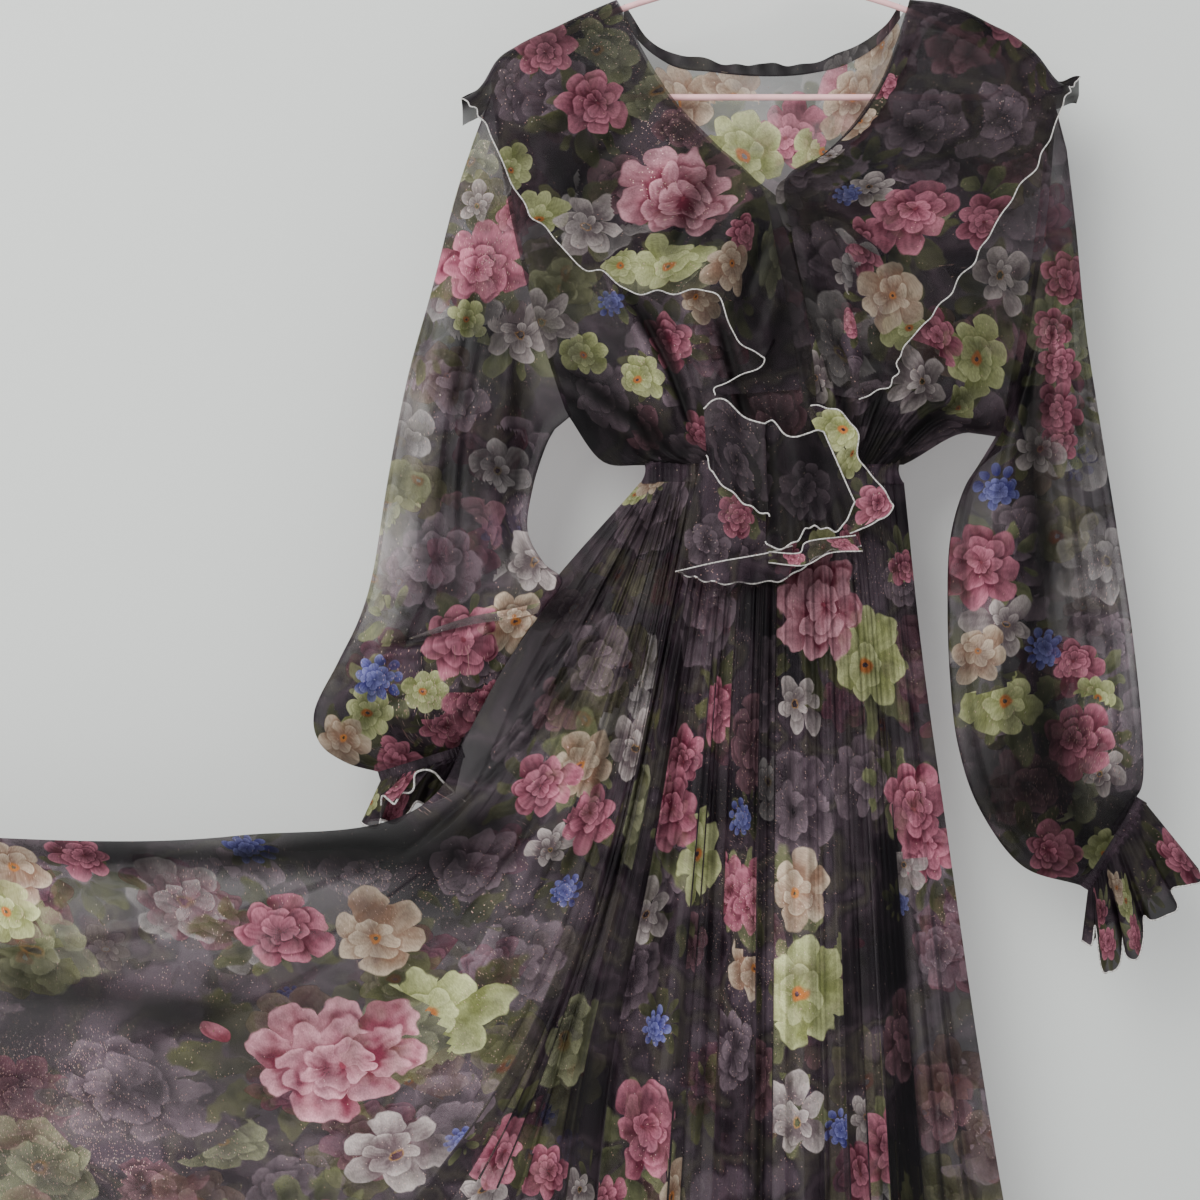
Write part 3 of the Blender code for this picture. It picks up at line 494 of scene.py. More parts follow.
def chiffonMaterial(name, flowers, glitterAndGlints, spec, layers):
    made, tree, shader, place = newMaterial(name)
    fine = noise(tree, place, *spec["fineNoise"])
    broad = noise(tree, place, *spec["broadNoise"])
    tone = calc(tree, "SUBTRACT", broad[0], spec["fineShare"] / 2)
    tone = calc(tree, "MULTIPLY_ADD", fine[0], spec["fineShare"], tone)
    colour = ramp(tree, tone, spec["groundTones"])[0]

    # clothState holds how gathered the cloth is, how pale or dark it is painted, and how much of the
    # metallic thread shows. The darkness is painted shade, the paleness is partly paler print and partly
    # painted light, and the thread's sparkle is partly painted glints.
    gathered, shadeAndPale, sparkling = split(tree, attribute(tree, "clothState"))
    # Above zero the ground is blended to a pale colour: partly paler print, partly painted light where the
    # sheer cloth looks lit.
    pale = calc(tree, "MAXIMUM", shadeAndPale, 0.0)
    colour = blend(tree, pale, colour, spec["paleGround"])

    alpha = spec["thinness"]
    if layers:
        wander = scaled(tree, vectorCalc(tree, "SUBTRACT", fine["Color"], (0.5, 0.5, 0.5)), spec["wander"])
    for layer in layers:
        given = {"Place": attribute(tree, layer), "Wander": wander}
        drawn = addNode(tree, "ShaderNodeGroup", given, node_tree=flowers[layer]).outputs
        colour = blend(tree, drawn["Mask"], colour, drawn["Colour"])
        alpha = calc(tree, "MULTIPLY_ADD", drawn["Mask"], spec["covers"][layer], alpha)
    if layers:
        alpha = calc(tree, "MINIMUM", alpha, spec["mostAlpha"])
        colour = blend(tree, calc(tree, "MULTIPLY", pale, spec["paleFlowers"]), colour, spec["paleGround"])

    flat = addNode(tree, "ShaderNodeUVMap", uv_map="clothFlat").outputs[0]
    # The sparkle patches are painted glints: bright tints laid into the colour where the threads catch the
    # light, beside a real metallic, glossy finish.
    patch = calc(tree, "ADD", stretch(tree, broad[0], *spec["patches"]), sparkling)
    threads = addNode(tree, "ShaderNodeGroup", {"Flat": flat, "Patch": patch}, node_tree=glitterAndGlints).outputs
    sparkle = calc(tree, "MULTIPLY", threads["Mask"], spec["sparkle"])
    colour = blend(tree, sparkle, colour, threads["Colour"])
    # Painted shade: the colour is darkened where the cloth is gathered or folded, and where its tone is
    # below zero.
    gatherShade = calc(tree, "MULTIPLY_ADD", gathered, spec["layerShade"], 1 - spec["layerShade"])
    leftAfterShade = calc(tree, "ADD", calc(tree, "MINIMUM", shadeAndPale, 0.0), 1.0)
    shade = calc(tree, "DIVIDE", calc(tree, "MAXIMUM", leftAfterShade, spec["darkest"]), gatherShade)
    shade = calc(tree, "MULTIPLY", shade, calc(tree, "MULTIPLY_ADD", threads["Grain"], *spec["grain"]))
    shade = calc(tree, "MULTIPLY", shade, stretch(tree, broad[0], *spec["cloudy"]))
    join(tree, scaled(tree, colour, shade), shader.inputs["Base Color"])
    join(tree, calc(tree, "MULTIPLY", threads["Mask"], spec["metallic"]), shader.inputs["Metallic"])
    join(tree, stretch(tree, threads["Mask"], 0.0, 1.0, spec["roughness"], spec["threadRoughness"]),
         shader.inputs["Roughness"])
    shader.inputs["Specular IOR Level"].default_value = spec["specular"]

    # Cloth seen edge on, or gathered, has more of itself in the way.
    facing = addNode(tree, "ShaderNodeLayerWeight").outputs["Facing"]
    square = calc(tree, "MAXIMUM", calc(tree, "SUBTRACT", 1.0, facing), spec["edgeOn"])
    thickness = calc(tree, "DIVIDE", gathered, square)
    through = calc(tree, "POWER", calc(tree, "SUBTRACT", 1.0, alpha), thickness)
    join(tree, calc(tree, "SUBTRACT", 1.0, through), shader.inputs["Alpha"])

    rays = addNode(tree, "ShaderNodeLightPath").outputs
    lampRays = calc(tree, "MAXIMUM", rays["Is Shadow Ray"], rays["Is Diffuse Ray"])
    clearWhere(tree, lampRays, shader, spec["lampThrough"])
    return made


thread = {"colour": (0.54, 0.52, 0.50), "shade": (0.24, 0.225, 0.215), "roughness": 0.6,
          "windings": (900.0, 1.0), "bump": {"Strength": 0.5, "Distance": 0.0004}}


def threadMaterial(spec):
    made, tree, shader, place = newMaterial("whiteThread")
    wound = noise(tree, place, *spec["windings"])[0]
    shade = stretch(tree, wound, 0.35, 0.6)
    join(tree, blend(tree, shade, spec["shade"], spec["colour"]), shader.inputs["Base Color"])
    shader.inputs["Roughness"].default_value = spec["roughness"]
    bump = addNode(tree, "ShaderNodeBump", {**spec["bump"], "Height": wound})
    join(tree, bump.outputs[0], shader.inputs["Normal"])
    return made


hanger = {"colour": (0.78, 0.44, 0.45), "worn": (0.66, 0.36, 0.37), "roughness": (0.38, 0.53),
          "patches": 60.0}


def hangerMaterial(spec):
    made, tree, shader, place = newMaterial("pinkHangerCoating")
    dull = noise(tree, place, spec["patches"])[0]
    join(tree, blend(tree, stretch(tree, dull, 0.4, 0.65), spec["colour"], spec["worn"]),
         shader.inputs["Base Color"])
    join(tree, stretch(tree, dull, 0.3, 0.7, *spec["roughness"]), shader.inputs["Roughness"])
    return made


joined = 0.00002    # points of a tube closer than this are one
hiddenStep = 3      # cloth hidden between two columns, from which a flower on it is cut
offFlower = 9.0     # a place that lies outside every flower, in flower radii
flowerReach = 1.08
farApart = 999      # keeps a flower on the front of a tube off its back
foldedShare = 0.4   # small folds take up less of the print than of the cloth


# Flowers are laid on a grid of cloth. Each quad's corners hold their place on at most one flower a layer.
def blankPrint(cloth, closed):
    grid = cloth["grid"]
    rows, columns = grid.shape[:2]
    pressed = grid * (1, cloth.get("press", foldedShare), 1)
    drawnIn = np.clip(0.6 + 0.4 * cloth["gathered"], 1, 1.6)
    acrossSteps = np.linalg.norm(np.diff(pressed, axis=1), axis=2) * drawnIn[:, :-1]
    downSteps = np.linalg.norm(np.diff(pressed, axis=0), axis=2)
    hidden = cloth.get("hidden", np.zeros((rows, columns)))
    far = np.full((rows - 1, columns - 1, 4, 3), offFlower)
    far[..., 2] = 0
    cut = np.abs(np.diff(hidden, axis=1)) > hiddenStep
    y = grid[..., 1]
    return {
        "half": y > (y.max(axis=1) + y.min(axis=1))[:, None] / 2,
        "seenFlat": cloth.get("seenFlat", False),
        "grid": grid,
        "closed": closed,
        "across": np.hstack([np.zeros((rows, 1)), np.cumsum(acrossSteps, axis=1)]) + hidden,
        "down": np.vstack([np.zeros((1, columns)), np.cumsum(downSteps, axis=0)]),
        "cut": cut[:-1] | cut[1:],
        "layers": {name: far.copy() for name in layerNames},
        "taken": {name: np.zeros((rows - 1, columns - 1), bool) for name in layerNames},
    }


def stampBloom(laid, kind, i, j, radius, turn, layers, share):
    across = laid["across"] - laid["across"][:, j:j + 1]
    if laid["closed"]:
        girth = laid["across"][:, -1:]
        across = (across + girth / 2) % girth - girth / 2
    down = laid["down"] - laid["down"][i:i + 1, :]
    if laid["seenFlat"]:
        across = laid["grid"][..., 0] - laid["grid"][i, j, 0]
        down = laid["grid"][i, j, 2] - laid["grid"][..., 2]
        across = across + farApart * (laid["half"] != laid["half"][i, j])
    c, s = math.cos(turn * 2 * math.pi), math.sin(turn * 2 * math.pi)
    px = (c * across + s * down) / radius
    py = (c * down - s * across) / radius
    near = px**2 + py**2 < flowerReach**2
    quads = near[:-1, :-1] | near[1:, :-1] | near[:-1, 1:] | near[1:, 1:]
    wrapped = np.abs(np.diff(across, axis=1)) > 2 * radius
    quads &= ~(wrapped[:-1] | wrapped[1:] | (laid["cut"] & (not laid["closed"])))
    for name in layers:
        free = quads & ~laid["taken"][name]
        if free.sum() < max(1, quads.sum() * share):
            continue
        quads = free
        laid["taken"][name] |= quads
        corners = laid["layers"][name]
        for n, (below, beside) in enumerate(((0, 0), (0, 1), (1, 1), (1, 0))):
            rows = slice(below, px.shape[0] - 1 + below)
            columns = slice(beside, px.shape[1] - 1 + beside)
            corners[quads, n, 0] = px[rows, columns][quads]
            corners[quads, n, 1] = py[rows, columns][quads]
        first, room = stamped["turns"]
        corners[quads, :, 2] = kindNames.index(kind) + first + room * (turn % 1)
        return True
    return False


def nearest(laid, x, z, behind=False):
    away = (laid["grid"][..., 0] - x) ** 2 + (laid["grid"][..., 2] - z) ** 2
    if laid["closed"]:
        away = away + stamped["otherHalf"] * (laid["half"] != behind)
    return np.unravel_index(np.argmin(away), away.shape)


bloomSizes = {
    "peony": 44, "rose": 30, "lime": 34, "white": 27, "cream": 30, "blue": 13, "bud": 12,
    "ghostMauve": 52, "ghostRose": 44, "ghostGrey": 46, "ghostGreen": 44,
}
bunchKinds = ("peony", "rose", "rose", "lime", "lime", "white", "white", "cream", "blue", "bud")
ghostKinds = ("ghostMauve", "ghostMauve", "ghostRose", "ghostGrey", "ghostGreen")
leafKinds = ("leafDark", "leafDark", "leafPale")
bloomLayers = ("bloomTop", "bloomLow")
stamped = {
    "swell": 1.12,             # printed flowers are this much larger than their table says
    "crowded": 0.6,            # a flower is laid where at least this share of it finds room
    "faintShare": 0.35,
    "turns": (0.02, 0.9),      # a turn stays within its kind's whole number
    "leafOff": 0.3,
    "leafSize": 1.5,
    "leastLeaf": 20,
    "otherHalf": 400,          # how much further away the far half of a tube counts, squared
}
bunch = {"flowers": (2, 5), "spread": 38, "sizes": (0.75, 1.15), "ghostSizes": (0.6, 1.1)}
wholeCloth = (-2000, 2000, -2000, 0)


def stampFaint(laid, draw, kind, middle, radius):
    layer = "bloomLeaf" if kind in leafKinds else "bloomGhost"
    stampBloom(laid, kind, *middle, radius, draw.uniform(), (layer,), stamped["faintShare"])


def stampWithLeaves(laid, draw, kind, x, z, radius, behind=False):
    turn = draw.uniform()
    radius = radius * stamped["swell"]
    middle = nearest(laid, x, z, behind)
    if any(stampBloom(laid, kind, *middle, radius, turn, bloomLayers, share)
           for share in (1.0, stamped["crowded"])):
        offX, offZ = draw.normal(0, radius * stamped["leafOff"], 2)
        leaf = leafKinds[draw.integers(len(leafKinds))]
        leafSize = max(radius * stamped["leafSize"], stamped["leastLeaf"])
        stampFaint(laid, draw, leaf, nearest(laid, x + offX, z + offZ, behind), leafSize)


# Flowers named in a piece's table come first, then seeded bunches on the stretch that it leaves to them.
def layFlowers(laid, spec):
    draw = np.random.default_rng(spec["seed"])
    for kind, x, z, radius in spec.get("flowers", ()):
        if kind in ghostKinds + leafKinds:
            stampFaint(laid, draw, kind, nearest(laid, x, z), radius)
        else:
            stampWithLeaves(laid, draw, kind, x, z, radius)
    for kind, x, z, radius in spec.get("behind", ()):
        stampWithLeaves(laid, draw, kind, x, z, radius, True)
    grid = laid["grid"]
    weights = (np.linalg.norm(np.diff(grid, axis=1)[:-1], axis=2)
               * np.linalg.norm(np.diff(grid, axis=0)[:, :-1], axis=2))
    weights = (weights / weights.sum()).ravel()
    left, right, low, high = spec.get("bunchesIn", wholeCloth)
    for cell in draw.choice(weights.size, size=spec.get("bunches", 0), p=weights):
        i, j = divmod(int(cell), grid.shape[1] - 1)
        x, z = grid[i, j, 0], grid[i, j, 2]
        size = draw.integers(*bunch["flowers"])
        if not (left < x < right and low < z < high):
            continue
        for _ in range(size):
            kind = bunchKinds[draw.integers(len(bunchKinds))]
            offX, offZ = draw.normal(0, bunch["spread"], 2)
            radius = bloomSizes[kind] * draw.uniform(*bunch["sizes"])
            stampWithLeaves(laid, draw, kind, x + offX, z + offZ, radius)
    for cell in draw.choice(weights.size, size=spec.get("ghosts", 0), p=weights):
        kind = ghostKinds[draw.integers(len(ghostKinds))]
        radius = bloomSizes[kind] * draw.uniform(*bunch["ghostSizes"])
        stampFaint(laid, draw, kind, divmod(int(cell), grid.shape[1] - 1), radius)


def newPiece(name, data):
    piece = bpy.data.objects.new(name, data)
    bpy.context.collection.objects.link(piece)
    return piece


grids = {}


# A piece of cloth from a grid of points, rows by columns. A closed one repeats its first column at the end.
def clothPiece(name, node, cloth, spec, faces=(0, -1, 0), closed=False):
    grid = grids[name] = cloth["grid"]
    rows, columns = grid.shape[:2]
    work = bmesh.new()
    bmesh.ops.create_grid(work, x_segments=columns - 1, y_segments=rows - 1, size=1)
    mesh = bpy.data.meshes.new(name)
    work.to_mesh(mesh)
    work.free()
    mesh.vertices.foreach_set("co", (grid * mm).ravel())
    mesh.update()

    laid = blankPrint(cloth, closed)
    layFlowers(laid, spec)
    corners = np.empty(len(mesh.loops), dtype=int)
    mesh.loops.foreach_get("vertex_index", corners)
    quadRows, quadColumns = np.divmod(corners.reshape(-1, 4)[:, 0], columns)
    for layer in layerNames:
        stored = mesh.attributes.new(layer, "FLOAT_VECTOR", "CORNER")
        stored.data.foreach_set("vector", laid["layers"][layer][quadRows, quadColumns].ravel())
    flat = mesh.uv_layers.new(name="clothFlat")
    flatPlaces = np.dstack([laid["across"], laid["down"]]).reshape(-1, 2) * mm
    flat.data.foreach_set("uv", flatPlaces[corners].ravel())
    x, z = grid[..., 0], grid[..., 2]
    # Painted light and shade: the tone and its blots darken the colour below zero and pale it above, and the
    # relief paints ridges lighter and troughs darker. The blots of extra layers and the piece's extra
    # gathering also darken the colour. The sparkle blots are patches of painted glints.
    tone = spec.get("tone", 0) + blots(x, z, spec.get("shadeAndPaleBlots", ())) + cloth.get("relief", 0)
    sparkle = blots(x, z, spec.get("sparkles", ()))
    full = cloth["gathered"] * spec.get("fullnessAndShade", 1) + blots(x, z, spec.get("denseAndShaded", ()))
    stored = mesh.attributes.new("clothState", "FLOAT_VECTOR", "POINT")
    stored.data.foreach_set("vector", np.dstack([full, tone, sparkle]).ravel())

    for material in chiffonFinish:
        mesh.materials.append(material)
    taken = laid["taken"]
    clear = ~(taken["bloomLow"] | taken["bloomTop"])
    bare = clear & ~(taken["bloomGhost"] | taken["bloomLeaf"])
    mesh.polygons.foreach_set("material_index", (clear * 1 + bare)[quadRows, quadColumns])

    work = bmesh.new()
    work.from_mesh(mesh)
    if closed:
        bmesh.ops.remove_doubles(work, verts=work.verts, dist=joined)
        bmesh.ops.recalc_face_normals(work, faces=work.faces)
    else:
        facing = sum((face.normal for face in work.faces), Vector())
        if facing.dot(Vector(faces)) < 0:
            bmesh.ops.reverse_faces(work, faces=work.faces)
    work.to_mesh(mesh)
    work.free()
    mesh.shade_smooth()
    piece = newPiece(name, mesh)
    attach(piece, "root")
    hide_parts(node)
    print(name, rows, "by", columns)


# A round thread or bar along a line of points.
def roundLine(name, path, radius, finish, cyclic=False, sides=2):
    data = bpy.data.curves.new(name, "CURVE")
    data.dimensions = "3D"
    data.bevel_depth = radius * mm
    data.bevel_resolution = sides
    data.use_fill_caps = not cyclic
    line = data.splines.new("POLY")
    line.points.add(len(path) - 1)
    line.points.foreach_set("co", np.hstack([np.asarray(path) * mm, np.ones((len(path), 1))]).ravel())
    line.use_cyclic_u = cyclic
    line.use_smooth = True
    data.materials.append(finish)
    piece = newPiece(name, data)
    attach(piece, "root")
    return piece


print("materials")
detailed = flowerGroup("printedFlower", 3)
faint = flowerGroup("faintFlower", 2)
flowers = {"bloomGhost": faint, "bloomLeaf": flowerGroup("leafSpray", 1), "bloomLow": detailed,
           "bloomTop": detailed}
glitterAndGlints = glitterAndGlintGroup(glint)
chiffonFinish = (
    chiffonMaterial("printedChiffon", flowers, glitterAndGlints, chiffon, layerNames),
    chiffonMaterial("leafyChiffon", flowers, glitterAndGlints, chiffon, layerNames[:2]),
    chiffonMaterial("bareChiffon", flowers, glitterAndGlints, chiffon, ()),
)
threadFinish = threadMaterial(thread)
hangerFinish = hangerMaterial(hanger)


paintedCreaseShade = 0.045  # painted light and shade: how much lighter a ridge is, and a trough darker, for each millimetre that it stands out


# Small folds where cloth is drawn into the waist, the same on the bodice, the band and the skirt.
def waistRipple(x):
    return 0.8 * np.sin(x / 0.95 + 1.3 * np.sin(x / 7.3)) + 0.6 * np.sin(x / 2.1 + 1.7 * np.sin(x / 13.0))


# The wrapped fronts, from the shoulder to the waist.
frontLeft = {
    "side": "left", "lift": 0.0, "rows": 90, "columns": 130,
    "edges": (  # v, inner x, z, rise of the middle
        (0.00, -109, -106, 0), (0.12, -83, -159, 0), (0.25, -48, -203, 0), (0.36, -16, -231, 0),
        (0.46, 20, -262, 0), (0.62, 46, -330, 4), (0.78, 58, -388, 8), (0.90, 62, -424, 4),
        (1.00, 64, -445.1, 0),
    ),
    "seam": ((0.78, -147, -412), (0.90, -121, -446), (1.00, -93, -444.6)),
    "creases": (  # from x, z to x, z, bow, width, depth
        (-60, -438, -150, -330, 6, 7, 4.1), (-72, -440, -168, -372, 4, 6, -3.5),
        (-40, -436, -110, -310, 5, 6, -3.2), (-28, -436, -70, -300, 3, 6, 3.5),
        (-84, -442, -150, -402, 2, 5, 3.2), (-10, -440, -38, -330, 2, 5, -3),
        (-64, -438, -128, -296, 7, 4, 3.8), (-52, -436, -98, -330, 5, 3, -3.6),
        (-92, -443, -166, -392, 3, 4, -3.4), (-46, -436, -80, -330, 4, 3, 3.4),
    ),
    "gathers": {"seed": 3, "count": 30, "depth": 2.6, "reach": (0.12, 0.42)},
    "flowers": (
        ("blue", -114, -333, 11), ("white", -166, -344, 26), ("lime", -91, -386, 18),
        ("rose", -72, -362, 22), ("rose", -48, -425, 15), ("cream", -47, -331, 18), ("lime", -134, -366, 18),
        ("white", -25, -282, 16), ("ghostMauve", -122, -398, 33), ("ghostGreen", -152, -327, 33),
        ("ghostRose", -92, -424, 26), ("leafPale", -122, -357, 38), ("leafDark", -70, -402, 38),
        ("ghostMauve", -32, -350, 22),
    ),
    "seed": 11, "ghosts": 16, "tone": -0.62, "fullnessAndShade": 1.7,
    "shadeAndPaleBlots": ((6, -330, 34, 80, -0.30), (-60, -440, 90, 22, -0.15), (-100, -370, 44, 26, 0.14),
              (-48, -425, 13, 12, 0.50)),
    "denseAndShaded": ((22, -330, 40, 80, 0.9), (-70, -430, 40, 16, 0.8)),
    "flat": (0.30, 0.38), "area": 0.075, "held": "gathered", "restsOn": ["hanger_frame", "waistband"],
}
frontRight = {
    "side": "right", "lift": 4.4, "rows": 90, "columns": 120,
    "edges": (
        (0.00, 109, -106, 0), (0.12, 90, -160, 0), (0.25, 62, -203, 0), (0.36, 34, -229, 0),
        (0.44, 9, -246, 0), (0.53, 19, -288, 2), (0.65, 29, -330, 6), (0.78, 36, -378, 12),
        (0.89, 39, -414, 8), (1.00, 42, -445.1, 0),
    ),
    "seam": ((0.78, 180, -430), (0.89, 146, -427), (1.00, 105.5, -444.6)),
    "creases": (
        (62, -440, 12, -262, -5, 6, 4.3), (68, -440, 34, -262, -4, 5, -4.1),
        (74, -440, 60, -270, -3, 6, 4.1), (82, -440, 92, -300, -3, 6, -3.2),
        (92, -440, 140, -330, -4, 7, 3.8), (98, -441, 168, -392, -3, 6, -3),
    ),
    "gathers": {"seed": 5, "count": 26, "depth": 2.6, "reach": (0.12, 0.5)},
    "flowers": (
        ("white", 20, -244, 20), ("white", 178, -314, 24), ("lime", 158, -370, 28), ("white", 113, -393, 25),
        ("rose", 129, -356, 20), ("white", 30, -384, 22), ("cream", 92, -357, 18), ("lime", 146, -408, 16),
        ("rose", 65, -346, 14), ("ghostMauve", 65, -394, 30), ("leafPale", 133, -387, 45),
        ("leafDark", 163, -327, 45), ("ghostRose", 178, -350, 30), ("leafDark", 28, -274, 22),
    ),
    "seed": 12, "ghosts": 16, "tone": -0.60, "fullnessAndShade": 1.7,
    "shadeAndPaleBlots": ((14, -330, 34, 80, -0.32), (90, -440, 80, 20, -0.15), (160, -370, 40, 40, 0.16)),
    "denseAndShaded": ((30, -340, 36, 80, 1.2), (110, -430, 40, 16, 0.8)),
    "flat": (0.28, 0.38), "area": 0.068, "held": "gathered", "restsOn": ["hanger_frame", "waistband"],
}


closerDown = 1.4  # the rows of a bodice panel are closer together at the shoulder
atSeam = (body["armholeEnd"] - 0.03, body["armholeEnd"] + 0.06)


def gatheredNearWaist(z):
    return 1 + 1.1 * smooth(-385, -446, z)


# A bodice panel ends at the armhole, and below it at the side seam.
def panelEnd(panel, v):
    xArm, zArm = armhole(panel["side"], np.clip(v[:, 0] / body["armholeEnd"], 0, 1))
    seam = curve(panel["seam"], v[:, 0])
    below = v[:, 0] > body["armholeEnd"]
    return np.where(below, seam[:, 0], xArm)[:, None], np.where(below, seam[:, 1], zArm)[:, None]


# It hangs over the body, and at the waist it is drawn in below a small roll.
def panelDepth(face, x, z, v, relief):
    y = standOff(x, z, face)
    y = y + (waistY(x) - y) * smooth(0.86, 1, v)
    y = y + relief * (1 - smooth(0.94, 1, v)) + waistRipple(x) * smooth(0.93, 1, v)
    return y + 3 * smooth(0.9, 0.96, v)


def frontPanel(spec):
    v = (np.linspace(0, 1, spec["rows"]) ** closerDown)[:, None]
    u = np.linspace(0, 1, spec["columns"])[None, :]
    inner = curve(spec["edges"], v[:, 0])
    xOut, zOut = panelEnd(spec, v)
    x = inner[:, 0:1] + (xOut - inner[:, 0:1]) * u
    z = inner[:, 1:2] + (zOut - inner[:, 1:2]) * u + inner[:, 2:3] * 4 * u * (1 - u)
    topX = inner[0, 0] + (xOut[0] - inner[0, 0]) * u
    bow = shoulderZ(topX) - (inner[0, 1] + (zOut[0] - inner[0, 1]) * u)
    z = z + bow * (1 - smooth(0, 0.35, v))
    drawnIn = gathers(u, 1 - v, spec["gathers"])
    y = panelDepth("front", x, z, v, drawnIn + creases(x, z, spec["creases"]))
    z = z - body["blouse"] * smooth(0.85, 1, v)
    y = y + spec["lift"] * smooth(0.02, 0.3, v) * (1 - smooth(0.35, 0.8, u))
    y = y * (1 - smooth(0.7, 1, u) * smooth(*atSeam, v))
    folded = creases(x, z, spec["creases"])
    # Painted light and shade: relief paints fold and gather ridges lighter and troughs darker, and the
    # troughs and gathers count as more gathered cloth, which darkens it.
    return {"grid": np.dstack([x, -y, z]), "relief": 0.08 * folded + 0.06 * (drawnIn - 0.8),
            "gathered": gatheredNearWaist(z) + 0.50 * (np.maximum(-folded, 0) + drawnIn)}


backBodice = {
    "rows": 90, "columns": 220, "rise": 14.0,
    "top": (  # x, z along the neckline
        (-109, -106), (-96, -126), (-72, -146), (-36, -153), (0, -156), (36, -154), (68, -145), (93, -127),
        (109, -106),
    ),
    "creases": (
        (-60, -438, -120, -300, 8, 7, 2.6), (-20, -438, -50, -280, 5, 7, -2.4),
        (20, -438, 30, -290, 4, 6, 2.6), (60, -438, 110, -310, -6, 7, -2.4),
        (85, -440, 150, -370, -5, 6, 2.4), (-85, -440, -140, -372, 5, 6, -2.2),
    ),
    "gathers": {"seed": 7, "count": 44, "depth": 2.2, "reach": (0.12, 0.4)},
    "flowers": (
        ("lime", -14, -212, 30), ("rose", 22, -201, 28), ("cream", -59, -174, 27), ("cream", -22, -170, 22),
        ("lime", -44, -212, 22), ("cream", 67, -176, 27), ("lime", 44, -214, 21),
        ("leafPale", -32, -184, 45), ("leafPale", 28, -214, 45), ("leafPale", 13, -170, 38),
        ("ghostGreen", -85, -170, 30), ("ghostGrey", 50, -184, 45), ("rose", -90, -240, 28),
        ("peony", 95, -260, 36), ("lime", -150, -300, 30), ("white", 10, -300, 28), ("cream", 140, -360, 26),
        ("rose", -40, -360, 28), ("lime", 60, -390, 26),
    ),
    "seed": 13, "bunches": 12, "ghosts": 18, "tone": -0.42, "fullnessAndShade": 1.3,
    "shadeAndPaleBlots": ((0, -194, 76, 26, 0.80),), "denseAndShaded": ((0, -186, 80, 30, -0.12),),
    "flat": (0.44, 0.36), "area": 0.14, "held": "gathered", "restsOn": ["hanger_frame", "waistband"],
}


def backPanel(spec):
    v = (np.linspace(0, 1, spec["rows"]) ** closerDown)[:, None]
    shoulders = [body["armholes"][side]["top"][0] for side in ("left", "right")]
    topX = np.linspace(*shoulders, spec["columns"])[None, :]
    u = (topX - topX[0, 0]) / (topX[0, -1] - topX[0, 0])
    (leftX, leftZ), (rightX, rightZ) = panelEnd(frontLeft, v), panelEnd(frontRight, v)
    x = leftX + (rightX - leftX) * u
    z = leftZ + (rightZ - leftZ) * u
    neck = (topX >= spec["top"][0][0]) & (topX <= spec["top"][-1][0])
    topZ = np.where(neck, curve(spec["top"], topX)[..., 0], shoulderZ(topX))
    z = z + (topZ - z[0]) * (1 - smooth(0, 0.75, v))
    underarm = body["armholeEnd"]
    z = z + spec["rise"] * np.sin(np.pi * u) * smooth(0.3, underarm, v) * (1 - smooth(underarm, 1, v))
    y = panelDepth("back", x, z, v, gathers(u, 1 - v, spec["gathers"]) + creases(x, z, spec["creases"]))
    z = z - body["blouse"] * smooth(0.85, 1, v)
    y = y * (1 - smooth(0.82, 1, np.abs(2 * u - 1)) * smooth(*atSeam, v))
    return {"grid": np.dstack([x, y, z]), "gathered": gatheredNearWaist(z)}


